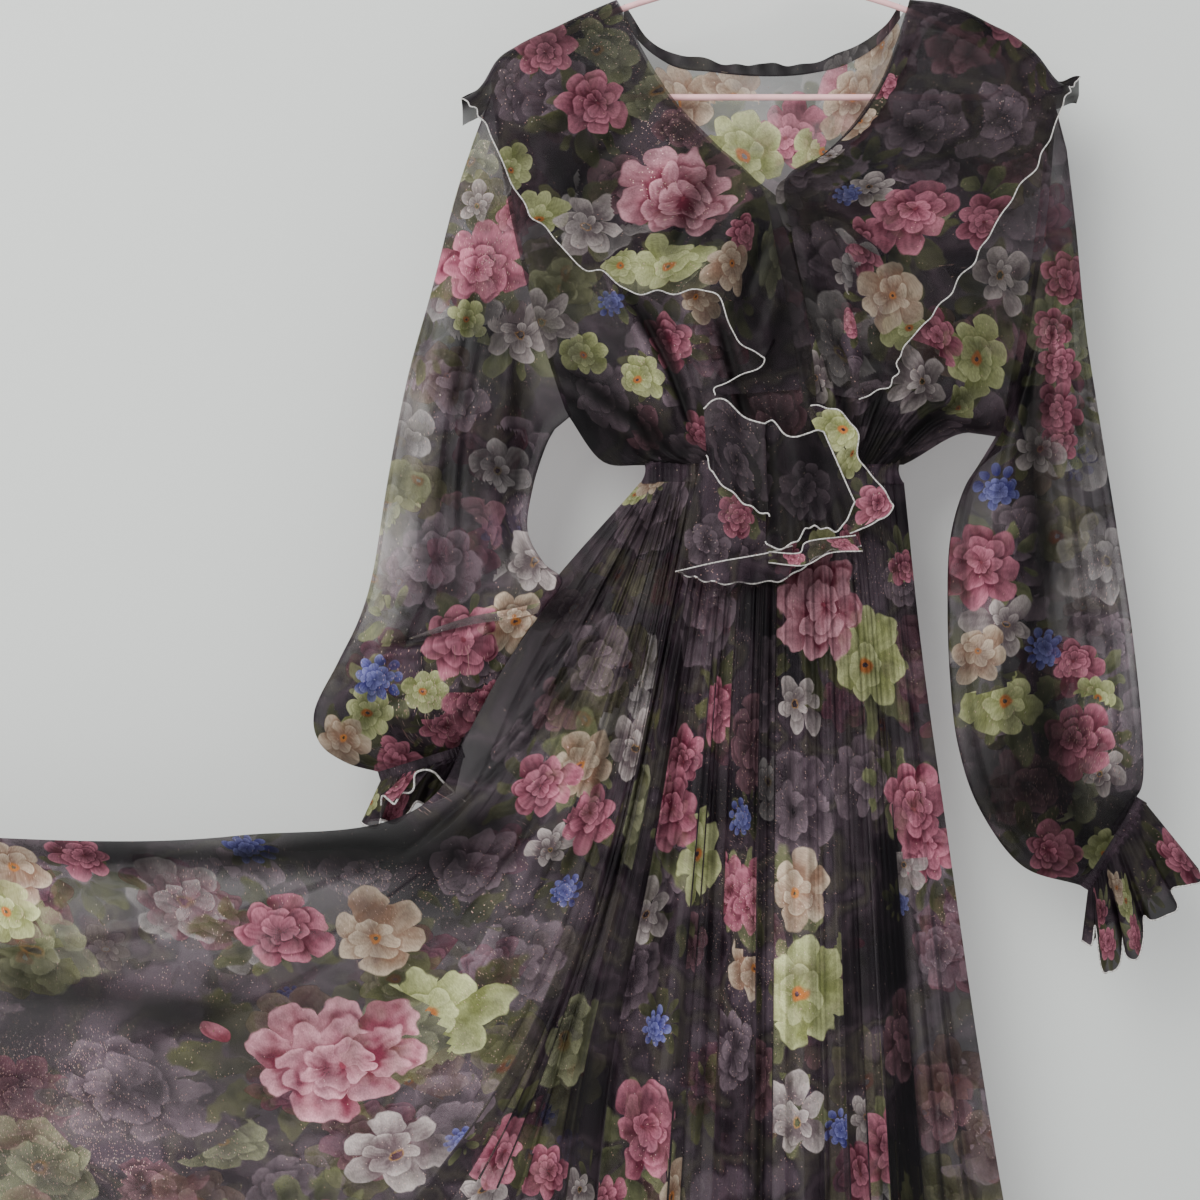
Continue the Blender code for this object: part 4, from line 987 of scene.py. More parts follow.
# Flounces fall from the neckline over the fronts. Their free edges have a rolled hem.
flounceLeft = {
    "rows": 190, "columns": 80, "lift": 0.0, "over": (17, 13, 9.5, 6.5, 4, 2.2, 1),
    "edges": (  # a, seam x, z, edge x, z, lift at the edge
        (0.00, -110, -103.5, -226, -176, 2), (0.14, -88, -146, -208, -198, 9),
        (0.30, -63, -184, -178, -260, 7), (0.42, -40, -208, -152, -288, 6), (0.47, -32, -216, -132, -309, 6),
        (0.50, -27, -220, -121, -308, 6), (0.55, -18, -228, -105, -322, 6), (0.63, -7, -239, -74, -325, 5),
        (0.72, 2, -256, -36, -326, 5), (0.79, 9, -292, -24, -354, 5), (0.83, 13, -312, -13, -367, 5),
        (0.87, 17, -333, 0, -373, 4), (0.91, 20, -353, -13, -385, 4), (0.96, 24, -378, -36, -394, 4),
        (1.00, 26, -396, -37, -401, 4),
    ),
    "waves": 7, "waveDepth": 3.0, "frill": 2.2, "frillWaves": 15,
    "creases": (
        (-100, -150, -190, -215, 4, 9, 3), (-78, -180, -150, -262, 4, 8, -3.2),
        (-52, -205, -118, -296, 3, 8, 3.5), (-30, -222, -76, -312, 2, 7, -3.5),
        (-8, -245, -44, -322, 1, 6, 3.2), (4, -280, -18, -334, 0, 5, -3), (12, -320, -4, -368, 0, 5, 3.2),
    ),
    "flowers": (
        ("peony", -65, -250, 39), ("rose", -128, -182, 26), ("rose", -161, -141, 22),
        ("lime", -74, -304, 26), ("cream", -26, -303, 20), ("rose", -16, -280, 15),
        ("white", -130, -274, 28), ("lime", -167, -268, 20), ("white", -148, -252, 18),
        ("cream", -47, -293, 15), ("lime", -108, -302, 16), ("lime", -186, -232, 15),
        ("cream", -180, -246, 13), ("leafPale", -107, -165, 26), ("leafPale", -124, -123, 22),
        ("leafDark", -92, -214, 34), ("leafPale", -92, -290, 42), ("leafDark", -152, -207, 34),
        ("ghostMauve", -152, -177, 33), ("ghostRose", -55, -200, 26), ("ghostGreen", -122, -147, 30),
        ("ghostMauve", -182, -170, 27), ("ghostRose", -107, -244, 30), ("leafDark", -20, -327, 30),
    ),
    "seed": 21, "ghosts": 14, "tone": -0.62, "fullnessAndShade": 1.7,
    "shadeAndPaleBlots": ((-66, -250, 40, 36, 0.16), (-130, -182, 26, 26, 0.12), (10, -330, 30, 60, -0.28),
              (-150, -280, 40, 26, 0.32), (-80, -304, 40, 12, 0.22)),
    "denseAndShaded": ((-215, -180, 16, 16, 1.0),),
    "sparkles": ((-112, -130, 26, 18, 0.10), (-66, -200, 26, 16, 0.08), (-66, -250, 30, 30, 0.05)),
    "flat": (0.22, 0.44), "area": 0.046, "held": "hung", "restsOn": ["frontBodiceLeft"],
}
flounceRight = {
    "rows": 190, "columns": 80, "lift": 4.4, "over": (17, 13, 9.5, 6.5, 4, 2.2, 1),
    "edges": (
        (0.00, 110, -103.5, 238, -160, 2), (0.14, 97, -146, 224, -178, 8), (0.30, 74, -190, 205, -223, 8),
        (0.45, 45, -220, 176, -265, 6), (0.58, 15, -242, 155, -300, 6), (0.68, 20, -280, 128, -336, 5),
        (0.80, 29, -326, 101, -368, 5), (0.90, 36, -365, 94, -391, 4), (1.00, 41, -398, 69, -404, 4),
    ),
    "waves": 7, "waveDepth": 3.0, "frill": 2.2, "frillWaves": 15,
    "creases": (
        (112, -150, 205, -200, -4, 9, 3), (88, -190, 176, -250, -4, 8, -3.2),
        (56, -224, 150, -288, -3, 8, 3.2), (24, -256, 126, -322, -2, 7, -3.5),
        (26, -300, 100, -360, -1, 6, 3.5), (34, -345, 92, -388, 0, 5, -3), (20, -252, 62, -400, 3, 6, 2.7),
    ),
    "flowers": (
        ("rose", 108, -266, 30), ("rose", 74, -288, 22), ("blue", 62, -249, 10), ("white", 79, -247, 18),
        ("cream", 92, -329, 26), ("lime", 103, -351, 18), ("rose", 134, -340, 22), ("rose", 165, -270, 21),
        ("white", 62, -312, 15), ("rose", 179, -129, 20), ("leafPale", 95, -304, 45),
        ("leafDark", 140, -297, 45), ("leafDark", 200, -147, 27), ("ghostMauve", 118, -200, 38),
        ("ghostMauve", 170, -192, 38), ("ghostRose", 148, -147, 30), ("ghostMauve", 80, -402, 22),
        ("leafDark", 73, -230, 30), ("ghostRose", 185, -230, 27),
    ),
    "seed": 22, "ghosts": 14, "tone": -0.72, "fullnessAndShade": 1.7,
    "shadeAndPaleBlots": ((110, -290, 46, 54, 0.30), (24, -330, 24, 70, -0.22)),
    "denseAndShaded": ((225, -165, 18, 16, 1.0),),
    "flat": (0.22, 0.44), "area": 0.047, "held": "hung", "restsOn": ["frontBodiceRight"],
}
flounceLift = 3.2
flounceEndLift = 2.5
flounceRows = 1.25   # its rows are closer together at the shoulder
rollShare = (0.7, 0.6)  # of the rolled hem's swing, in the cloth's own plane and out of it


def flouncePanel(spec):
    b = np.linspace(0, 1, spec["columns"])[None, :]
    a = np.linspace(0, 1, spec["rows"]) ** flounceRows
    rows = curve(spec["edges"], a)
    x = rows[:, 0:1] + (rows[:, 2:3] - rows[:, 0:1]) * b
    z = rows[:, 1:2] + (rows[:, 3:4] - rows[:, 1:2]) * b
    level = flounceLift + flounceEndLift * smooth(0.55, 0.8, b)
    a = a[:, None]
    bow = (shoulderZ(x[0]) + level - z[0]) * (1 - smooth(0.84, 1, b))
    z = z + bow * (1 - smooth(0, 0.25, a))
    raised = spec["lift"] * smooth(0.02, 0.3, a) * (1 - b) + rows[:, 4:5] * b**2
    waves = spec["waveDepth"] * (1 + np.sin(2 * np.pi * spec["waves"] * a)) / 2
    y = standOff(x, z, "front", level) + raised
    y = y + waves * b**2 * smooth(0, 0.2, a) + creases(x, z, spec["creases"])
    rolled = np.sin(2 * np.pi * spec["frillWaves"] * a + 3.4 * np.sin(8 * a)) * (0.6 + 0.5 * np.sin(23 * a))
    rolled = rolled * b**5 * smooth(0.02, 0.1, a)
    alongX = np.gradient(rows[:, 2])[:, None]
    alongZ = np.gradient(rows[:, 3])[:, None]
    along = np.maximum(np.hypot(alongX, alongZ), 0.01)
    side = np.sign(rows[0, 2])
    x = x - side * alongZ / along * spec["frill"] * rollShare[0] * rolled
    z = z + side * alongX / along * spec["frill"] * rollShare[0] * rolled
    y = y + spec["frill"] * np.roll(rolled, 2, axis=0) * rollShare[1]
    front = np.dstack([x, -y, z])
    behind = []
    for drop in spec["over"]:
        zRow = z[0] - drop
        yRow = standOff(x[0], zRow, "back", level[0]) + 3 * b[0] ** 2
        behind.append(np.stack([x[0], yRow, zRow], axis=1))
    grid = np.vstack([np.array(behind), front])
    folded = creases(grid[..., 0], grid[..., 2], spec["creases"])
    # Painted shade: the lower flounce and its crease troughs count as more gathered, which darkens them, and
    # relief paints crease ridges lighter and troughs darker.
    full = 1 + 0.25 * smooth(-300, -400, grid[..., 2]) + 0.3 * np.maximum(-folded, 0)
    return {"grid": grid, "gathered": full, "relief": paintedCreaseShade * folded}


# A narrow gathered frill stands along the back of the neck, and a paler one lies down the right front.
neckBand = {
    "columns": 260, "rows": 12, "halfWidth": 104, "height": 9.0,
    "seed": 31, "ghosts": 2, "tone": -0.45, "fullnessAndShade": 2.0,
    "flat": (0.30, 0.014), "area": 0.0029, "held": "gathered", "restsOn": ["backBodice"],
}
neckFrill = {
    "columns": 150, "rows": 8, "from": 0.05, "to": 0.56, "width": 8,
    "flowers": (("cream", 70, -200, 16), ("rose", 92, -170, 12), ("white", 50, -222, 12)),
    "seed": 32, "tone": -0.5,
    "flat": (0.17, 0.011), "area": 0.0013, "held": "gathered", "restsOn": ["flounceRight"],
}


# Cloth that is evenly drawn in, from its lines of points.
def evenCloth(lines, gathered=1.0):
    grid = np.array(lines)
    return {"grid": grid, "gathered": np.full(grid.shape[:2], gathered)}


def neckBandPanel(spec):
    x = np.linspace(-spec["halfWidth"], spec["halfWidth"], spec["columns"])
    seamZ = curve(backBodice["top"], x)[:, 0]
    low = seamZ - 1.4
    middle = standOff(x, seamZ, "back")
    height = spec["height"] + 3 * np.abs(x / spec["halfWidth"]) ** 2
    sway = 1.5 * np.sin(x / 2.9 + 1.5 * np.sin(x / 17)) + 0.8 * np.sin(x / 7.0)
    lines = []
    for share in np.linspace(0, 1, spec["rows"]):
        rise = low + height * share + share * (1.4 * np.sin(x / 9.0 + 1) + 0.7 * np.sin(x / 4.1))
        lines.append(np.stack([x, middle - 0.7 + 2.6 * share + sway * share, rise], axis=1))
    return evenCloth(lines, 1.9)


def neckFrillPanel(spec):
    a = np.linspace(spec["from"], spec["to"], spec["columns"])
    rows = curve(flounceRight["edges"], a)
    x, z = rows[:, 0], rows[:, 1]
    base = standOff(x, z, "front", flounceLift) + frontRight["lift"] * smooth(0.02, 0.3, a) + 2.2
    lines = []
    for share in np.linspace(0, 1, spec["rows"]):
        flutter = share * np.sin(a * 130 + 2 * np.sin(a * 21))
        lines.append(np.stack([x + 2 + spec["width"] * share + 0.8 * flutter,
                               -base - 1.5 * share - 0.9 * flutter, z - 2 * share], axis=1))
    return evenCloth(lines)


# Elastic draws the cloth in at the waist.
waistband = {
    "columns": 700, "rows": 12, "seed": 41, "slot": "gathered_chiffon",
    "flat": (0.42, 0.02), "area": 0.0082, "held": "gathered", "restsOn": ["hanger_frame"],
}


def waistbandTube(spec):
    angle = np.linspace(0, 2 * np.pi, spec["columns"])
    lines = []
    for share in np.linspace(0, 1, spec["rows"]):
        z = body["waistTop"] + 2.4 + (body["waistBottom"] - body["waistTop"] - 4.4) * share
        x = body["waistCentre"] + (body["waistHalfWidth"] - 4 * math.sin(math.pi * share)) * np.cos(angle)
        channel = 0.5 * np.cos((z - body["waistTop"]) * 1.1)  # rows of elastic
        ripple = waistRipple(x + 0.25 * np.sin(z)) * np.abs(np.sin(angle)) ** 0.5
        y = -(body["waistHalfDepth"] + channel) * np.sin(angle) - ripple * np.sign(np.sin(angle))
        lines.append(np.stack([x, y, np.full_like(x, z)], axis=1))
    return evenCloth(lines, 2.6)


# Ruffles fall in a cascade at the waist. Each row is one column of cloth.
cascadeFront = {
    "across": 150, "rows": 60, "frill": 1.6, "frillWaves": 11,
    "lines": (  # top x, z, y, bottom x, z, y
        (-45.5, -411, -33, -43.5, -445.5, -35), (-38, -404.5, -35, -38.3, -460, -40),
        (-29, -405, -36, -21, -477, -44), (-16, -417, -35, -8, -486, -45), (-2, -422, -38, 2, -491, -46),
        (1, -421, -34, 0, -510, -40), (6, -420, -33, 10, -514, -41), (14, -430, -37, 22, -509, -44),
        (22, -432, -39, 30, -499, -46), (32, -429, -38, 40, -499, -45), (38, -427, -36, 54, -500, -44),
        (43, -428, -34, 65, -481, -42),
    ),
    "flowers": (("ghostMauve", 30, -470, 26), ("ghostMauve", -20, -452, 20)),
    "seed": 51, "ghosts": 1, "tone": -0.70, "denseAndShaded": ((0, -460, 80, 70, 2.2), (6, -470, 5, 60, 1.5)),
    "flat": (0.13, 0.09), "area": 0.0096, "held": "hung", "restsOn": ["waistband"],
}
cascadeSide = {
    "across": 70, "rows": 50, "frill": 1.4, "frillWaves": 5,
    "lines": (  # each from the hidden edge to the free one
        (30, -412, -34, 33, -409, -37), (36, -424, -33, 50, -411.5, -40), (42, -436, -32, 62, -421, -41),
        (48, -450, -33, 68, -431, -40), (54, -465, -34, 67.5, -447, -37), (58, -478, -35, 76, -457, -38),
        (60, -490, -36, 88, -474, -42), (60, -500, -37, 93, -485, -42), (62, -503, -38, 79.5, -496, -41),
    ),
    "flowers": (("lime", 54, -424, 20), ("lime", 62, -446, 16), ("rose", 80, -482, 17)), "seed": 52,
    "tone": -0.22,
    "flat": (0.03, 0.12), "area": 0.0022, "held": "hung", "restsOn": ["waistband"],
}
cascadeUnder = {
    "across": 150, "rows": 60, "frill": 1.6, "frillWaves": 9,
    "lines": (
        (-47, -448, -20, -66, -531, -27), (-30, -449, -22, -38, -539, -33), (-10, -449, -21, -8, -539, -28),
        (14, -449, -22, 15, -536, -32), (38, -449, -21, 45, -517, -27), (60, -449, -20, 71, -513, -30),
    ),
    "flowers": (("rose", 16, -522, 13), ("rose", -20, -489, 16), ("lime", 42, -512, 14),
                ("rose", 64, -508, 10), ("ghostMauve", -40, -510, 24)),
    "seed": 53, "ghosts": 1, "tone": -0.55, "denseAndShaded": ((0, -500, 70, 50, 1.4),),
    "flat": (0.15, 0.10), "area": 0.0125, "held": "hung", "restsOn": ["waistband"],
}
# Its lower hem is turned back up to a point at its left end.
cascadeFold = {
    "across": 60, "rows": 14,
    "lines": (
        (-66, -531, -30, -66, -531.8, -30), (-38, -524.5, -34, -38, -539, -35),
        (-10, -519.5, -35, -10, -539.5, -36), (3, -517, -35, 3, -537.5, -36),
        (20, -512, -34, 17, -535.5, -36),
    ),
    "seed": 54, "tone": -0.30, "denseAndShaded": ((0, -530, 80, 30, 0.4),),
    "flat": (0.085, 0.021), "area": 0.0014, "held": "hung", "restsOn": ["cascadeUnder"],
}
cascadePocket = {
    "across": 60, "rows": 12,
    "lines": (
        (2, -516.5, -39, 2, -524.5, -38), (24, -517.5, -41, 28, -526.5, -40),
        (31, -509, -42, 47, -517.5, -41), (66, -504.5, -41, 71, -516, -40),
    ),
    "flowers": (("rose", 20, -520, 9), ("rose", 56, -512, 10)), "seed": 55, "tone": -0.35,
    "flat": (0.075, 0.010), "area": 0.0007, "held": "hung", "restsOn": ["cascadeUnder"],
}


def cascadePanel(spec):
    lines = curve(evenRows(spec["lines"]), np.linspace(0, 1, spec["across"]))
    u = np.linspace(0, 1, spec["across"])
    waves = np.sin(2 * np.pi * spec.get("frillWaves", 0) * u + 3 * np.sin(7 * u))
    grid = []
    for share in np.linspace(0, 1, spec["rows"]):
        line = lines[:, :3] + (lines[:, 3:] - lines[:, :3]) * share
        roll = spec.get("frill", 0) * waves * share**5
        sag = 1.5 * np.sin(np.pi * share) * np.sin(2 * np.pi * 3 * u + 1)
        grid.append(np.stack([line[:, 0], line[:, 2] - roll - sag, line[:, 1] + 0.6 * roll], axis=1))
    return evenCloth(grid, 1.3)


# The skirt, from the right side seam round to the left one that is held out.
skirt = {
    "places": (0, 0.12, 0.26, 0.42, 0.68, 1), "rowSpread": 1.35, "press": 0.2,
    "lines": (  # waist x, then x, z at five places down to the hem, depth half way and at the hem
        (106, 119, -587, 139, -731, 163, -895, 208, -1161, 260, -1490, 0, 0),
        (65, 75, -589, 82, -734, 91, -900, 107, -1170, 126, -1500, 22, 34),
        (20, 20, -591, 20, -737, 20, -903, 20, -1173, 20, -1504, 28, 42),
        (-17, -27, -591, -35, -736, -43, -902, -56, -1171, -71, -1501, 28, 40),
        (-43, -67, -588, -95, -731, -134, -891, -172, -1160, -212, -1486, 24, 32),
        (-62, -90, -587, -125, -729, -186, -878, -362, -1086, -602, -1317, 15, 22),
        (-77, -128, -577, -194, -711, -298, -826, -545, -940, -861, -1047, 13, 16),
        (-92, -173, -560, -244, -697, -391, -726, -663, -724, -998, -702, 0, 0),
    ),
    "sideShift": ((0.00, 0), (0.10, 2), (0.17, -4), (0.25, -22), (0.34, -32), (0.45, -30), (0.70, -20),
                  (1.00, -12)),  # v, y
}
skirtFront = {
    "columns": 420, "rows": 190,
    "folds": (  # u, width, depth at the top, at the hem
        (0.060, 0.050, 2, 15), (0.160, 0.052, 4, 20), (0.265, 0.055, 4, 24), (0.372, 0.052, 5, 22),
        (0.468, 0.046, 5, 24), (0.555, 0.042, 5, 20), (0.640, 0.044, 6, 16), (0.785, 0.055, 7, 11),
        (0.905, 0.050, 4, 7),
    ),
    "gathers": {"seed": 61, "count": 46, "depth": 3.4, "reach": (0.10, 0.55)},
    "fineGathers": {"seed": 65, "count": 110, "depth": 1.5, "reach": (0.15, 1.1)},
    "overlaps": (  # u to u, v to v, extra layers, hidden cloth
        (0.105, 0.150, 0.22, 1.3, 1.3, 34), (0.178, 0.203, 0.24, 1.3, 1.5, 26),
        (0.318, 0.352, 0.03, 1.3, 1.9, 38), (0.353, 0.413, 0.03, 0.95, 0.9, 30),
        (0.452, 0.466, 0.10, 0.80, 1.1, 12), (0.536, 0.566, 0.05, 1.3, 1.4, 30),
        (0.604, 0.630, 0.06, 0.36, 1.4, 22), (0.644, 0.664, 0.20, 0.55, 1.5, 14),
        (0.676, 0.700, 0.34, 0.85, 1.3, 14), (0.714, 0.722, 0.10, 0.50, 0.9, 0),
        (0.764, 0.772, 0.08, 0.36, 0.9, 0), (0.830, 0.836, 0.10, 0.30, 0.8, 0),
        (0.984, 1.001, 0.45, 1.3, 0.9, 0),
    ) + narrowFolds(66, 50, (0.3, 1.1), upTo=0.66),
    "tone": -0.36,
    # Dark blots are painted shade along fold lines and the sweep's top edge; pale blots are partly paler
    # print and partly painted light.
    "shadeAndPaleBlots": (
        (-440, -900, 170, 80, 0.20), (10, -790, 60, 150, 0.44), (-215, -790, 60, 60, 0.22),
        (-300, -900, 110, 80, 0.26), (-560, -930, 150, 60, 0.34), (-440, -785, 80, 22, 0.30),
        (-560, -785, 60, 26, 0.32), (-450, -952, 110, 34, 0.16), (-424, -852, 44, 13, -0.50),
        (-290, -732, 70, 12, -0.45), (-225, -718, 50, 14, -0.40), (-420, -915, 60, 24, -0.45),
        (-420, -857, 130, 20, -0.30), (-540, -850, 60, 14, -0.25), (-250, -744, 150, 11, -0.30),
        (-420, -741, 70, 8, -0.40), (-560, -828, 40, 9, -0.40), (-500, -843, 45, 10, -0.35),
        (-440, -866, 40, 13, -0.30), (-390, -886, 44, 15, -0.30), (-150, -700, 60, 40, 0.16),
        (120, -720, 26, 70, 0.20), (20, -530, 80, 50, -0.25),
    ),
    "sparkles": (
        (-520, -945, 90, 60, 0.10), (-560, -880, 60, 40, 0.09), (-350, -757, 46, 14, 0.06),
        (-270, -756, 40, 12, 0.12), (-180, -830, 26, 60, 0.04), (-10, -760, 30, 140, 0.06),
        (-240, -780, 60, 20, 0.05),
    ),
    "creases": (
        (-90, -560, -165, -800, -8, 5, -3.4), (-60, -560, -92, -900, -6, 5, -3.6),
        (-32, -560, -40, -960, 0, 5, -3.6), (-4, -540, -2, -980, 2, 5, -3.2),
        (30, -560, 34, -900, 2, 5, 3.0), (66, -560, 78, -960, 3, 5, -3.2), (96, -600, 118, -980, 3, 5, -3.0),
        (-130, -600, -250, -900, -14, 7, 3.2), (-110, -640, -200, -980, -12, 6, -3.0),
        (-570, -826, -380, -860, -16, 7, 2.8), (-572, -854, -360, -852, -22, 8, -2.6),
        (-560, -900, -330, -880, -18, 9, 3.0), (-430, -760, -250, -740, -14, 6, -2.2),
        (-300, -830, -220, -960, 10, 8, 2.4), (-540, -960, -350, -1000, -14, 10, -2.6),
        (-98, -545, -225, -690, -4, 3.5, -4.5), (-86, -505, -196, -640, -3, 3.5, -4.2),
        (-116, -590, -268, -740, -5, 4, -4.5), (-76, -478, -150, -580, -2, 3.5, -4.0),
        (-128, -640, -236, -800, -8, 4, -4.0),
    ),
    "flowers": (
        ("rose", -353, -796, 32), ("cream", -288, -798, 34), ("peony", -319, -891, 56),
        ("lime", -244, -862, 45), ("white", -272, -958, 39), ("bud", -403, -870, 15),
        ("blue", -379, -734, 16), ("blue", -226, -955, 12), ("rose", -196, -962, 32),
        ("white", -207, -986, 26), ("rose", -509, -740, 24), ("cream", -563, -748, 33),
        ("lime", -566, -780, 26), ("leafDark", -347, -852, 63), ("leafPale", -272, -904, 63),
        ("leafDark", -235, -800, 45), ("leafDark", -302, -942, 45), ("leafPale", -490, -762, 38),
        ("leafPale", -355, -762, 30), ("leafDark", -385, -852, 38), ("ghostGreen", -535, -807, 50),
        ("ghostGrey", -433, -777, 44), ("ghostMauve", -463, -915, 60), ("ghostGreen", -403, -950, 34),
        ("ghostMauve", -185, -824, 50), ("ghostGreen", -542, -972, 52), ("ghostMauve", -212, -747, 38),
        ("ghostMauve", -347, -987, 38), ("ghostMauve", -505, -844, 38), ("ghostGrey", -385, -807, 27),
        ("ghostRose", -452, -987, 38), ("ghostMauve", -302, -754, 26), ("peony", 38, -556, 46),
        ("lime", 78, -595, 36), ("white", 26, -630, 26), ("rose", -37, -634, 27), ("white", -95, -658, 27),
        ("cream", -133, -675, 28), ("rose", -164, -692, 26), ("rose", -131, -712, 26),
        ("white", -158, -734, 21), ("blue", -146, -766, 14), ("rose", -71, -711, 33),
        ("rose", -59, -672, 22), ("lime", -48, -741, 38), ("white", -87, -780, 26), ("blue", -18, -711, 14),
        ("rose", -26, -765, 28), ("rose", -7, -774, 30), ("cream", 25, -765, 28), ("cream", -8, -820, 28),
        ("lime", 30, -840, 40), ("white", 20, -933, 33), ("rose", 111, -702, 32), ("rose", 122, -740, 27),
        ("white", 107, -752, 21), ("blue", 102, -777, 12), ("blue", -82, -866, 15), ("rose", -86, -944, 38),
        ("cream", -71, -988, 26), ("rose", 88, -950, 30), ("rose", 70, -980, 30), ("white", 74, -936, 20),
        ("blue", 56, -940, 14), ("rose", -162, -976, 21), ("rose", -118, -996, 22),
        ("white", -139, -987, 20), ("leafPale", -152, -687, 52), ("leafPale", -62, -702, 45),
        ("leafPale", 13, -792, 45), ("leafDark", 65, -582, 45), ("leafPale", 28, -882, 33),
        ("leafDark", 103, -724, 38), ("leafPale", -81, -462, 22), ("cream", -83, -452, 14),
        ("lime", -95, -471, 12), ("ghostMauve", -100, -828, 33), ("ghostRose", 128, -933, 38),
        ("ghostRose", 103, -882, 38), ("ghostMauve", 73, -687, 38), ("ghostMauve", -122, -597, 38),
        ("ghostRose", -152, -627, 30), ("ghostMauve", -25, -882, 38), ("ghostGrey", 5, -687, 30),
        ("ghostMauve", 133, -822, 30), ("ghostGrey", -152, -800, 38), ("leafDark", -47, -920, 38),
        ("ghostMauve", 103, -537, 22), ("rose", 106, -526, 15),
    ),
    "denseAndShaded": (
        (-290, -732, 70, 12, 2.2), (-225, -718, 50, 14, 2.2), (-560, -828, 40, 9, 1.0),
        (-500, -843, 45, 10, 1.0), (-440, -866, 40, 13, 0.8), (-424, -852, 44, 13, 0.8),
        (-420, -743, 110, 11, 1.9), (-300, -745, 120, 10, 2.0), (-230, -760, 60, 24, 1.2),
        (20, -520, 80, 60, 0.8),
    ),
    "seed": 62, "bunches": 60, "bunchesIn": (-1100, 400, -2000, -1030), "ghosts": 80,
    "flat": (1.30, 1.05), "area": 1.05, "held": "gathered", "restsOn": ["waistband"],
}
skirtBack = {
    "columns": 320, "rows": 140,
    "folds": (
        (0.070, 0.055, 2, 16), (0.185, 0.060, 4, 22), (0.310, 0.062, 4, 24), (0.435, 0.062, 5, 22),
        (0.560, 0.060, 5, 20), (0.700, 0.070, 6, 12), (0.860, 0.070, 4, 8),
    ),
    "gathers": {"seed": 63, "count": 40, "depth": 3.0, "reach": (0.10, 0.5)},
    "fineGathers": {"seed": 67, "count": 90, "depth": 1.4, "reach": (0.15, 1.0)},
    "overlaps": (
        (0.10, 0.14, 0.06, 1.3, 1.2, 30), (0.23, 0.26, 0.08, 1.3, 1.2, 26), (0.36, 0.40, 0.05, 1.3, 1.3, 30),
        (0.50, 0.53, 0.08, 1.3, 1.2, 26), (0.62, 0.64, 0.10, 0.9, 1.0, 20),
    ) + narrowFolds(68, 24, (0.3, 1.0)),
    "tone": -0.35,
    "creases": (
        (-80, -560, -150, -820, -8, 6, -3.2), (-30, -560, -44, -940, -2, 6, 3.2),
        (20, -560, 24, -960, 2, 6, -3.2), (70, -560, 90, -960, 4, 6, 3.2),
        (-560, -860, -340, -880, -18, 9, 2.8), (-130, -620, -250, -940, -12, 7, 3.0),
        (-700, -900, -420, -960, -16, 10, -2.8),
    ),
    "seed": 64, "bunches": 110, "ghosts": 80,
    "flat": (1.30, 1.05), "area": 1.02, "held": "gathered", "restsOn": ["waistband"],
}


def foldDepth(folds, u, v):
    total = np.zeros(np.broadcast(u, v).shape)
    for place, width, top, hem in folds:
        total = total + (top + (hem - top) * v) * cosineRidge(np.abs(u - place) / width) * smooth(0, 0.12, v)
    return total


def skirtPanel(face, spec):
    v = (np.linspace(0, 1, spec["rows"]) ** skirt["rowSpread"])[:, None]
    u = np.linspace(0, 1, spec["columns"])[None, :]
    line = curve(evenRows(skirt["lines"]), u[0])
    waistX = line[:, 0]
    top = np.stack([waistX, np.full_like(waistX, body["waistBottom"] - body["seamGap"])], axis=1)
    stations = np.stack([top] + [line[:, k:k + 2] for k in (1, 3, 5, 7, 9)])
    places = between(np.array(skirt["places"]), stations, v[:, 0])
    x, z = places[..., 0], places[..., 1]
    x = x - 9 * np.exp(-((v - 0.19) / 0.05) ** 2) * smooth(0.88, 1, u)  # the edge goes in behind the sleeve
    middle, hem = line[:, 11], line[:, 12]
    standing = (1 - v) ** 2 * 0.8 * waistY(waistX) + 2.4 * v * (1 - v) * middle + v**2 * hem
    atWaist = 1 - smooth(0, 0.1, v)
    standing = standing * (1 - atWaist) + waistY(waistX) * atWaist
    layers, hidden = foldedOver(u, v, spec["overlaps"])
    deep = foldDepth(spec["folds"], u, v)
    belowBand = smooth(0, 0.03, v)
    relief = deep + gathers(u, v, spec["gathers"]) * belowBand
    hanging = 1 - smooth(0.60, 0.74, u) * smooth(0.10, 0.30, v)  # not where it is held out
    relief = relief * (0.35 + 0.65 * hanging) + deep * 0.65 * (1 - hanging)
    relief = relief + gathers(u, v, spec["fineGathers"]) * belowBand * hanging + 1.2 * layers
    relief = relief + creases(x, z, spec["creases"]) + waistRipple(waistX) * (1 - smooth(0.0, 0.06, v))
    ends = np.sin(np.pi * u) ** 0.5
    off = body["ridgeGap"] * np.clip(ends * 6, 0, 1) + (standing + relief) * np.clip(ends * 1.4, 0, 1)
    shift = curve(skirt["sideShift"], v[:, 0])[:, 0:1] * smooth(0.72, 0.97, u)
    y = shift - off if face == "front" else shift + off
    # Painted shade: near the waist, on the upper hanging part, in folded-over layers and in crease troughs
    # the cloth counts as more gathered, which darkens its colour as well as making it less clear. Relief
    # paints crease ridges lighter and troughs darker.
    gathered = 1 + 1.3 * np.exp(-v / 0.10) + 0.30 * (1 - smooth(0.5, 0.75, u)) * (1 - smooth(0.2, 0.9, v))
    folded = creases(x, z, spec["creases"])
    gathered = gathered + 1.4 * layers + 0.24 * np.maximum(-folded, 0)
    return {"grid": np.dstack([x, y, z]), "gathered": gathered, "hidden": hidden,
            "press": skirt["press"], "relief": paintedCreaseShade * folded}


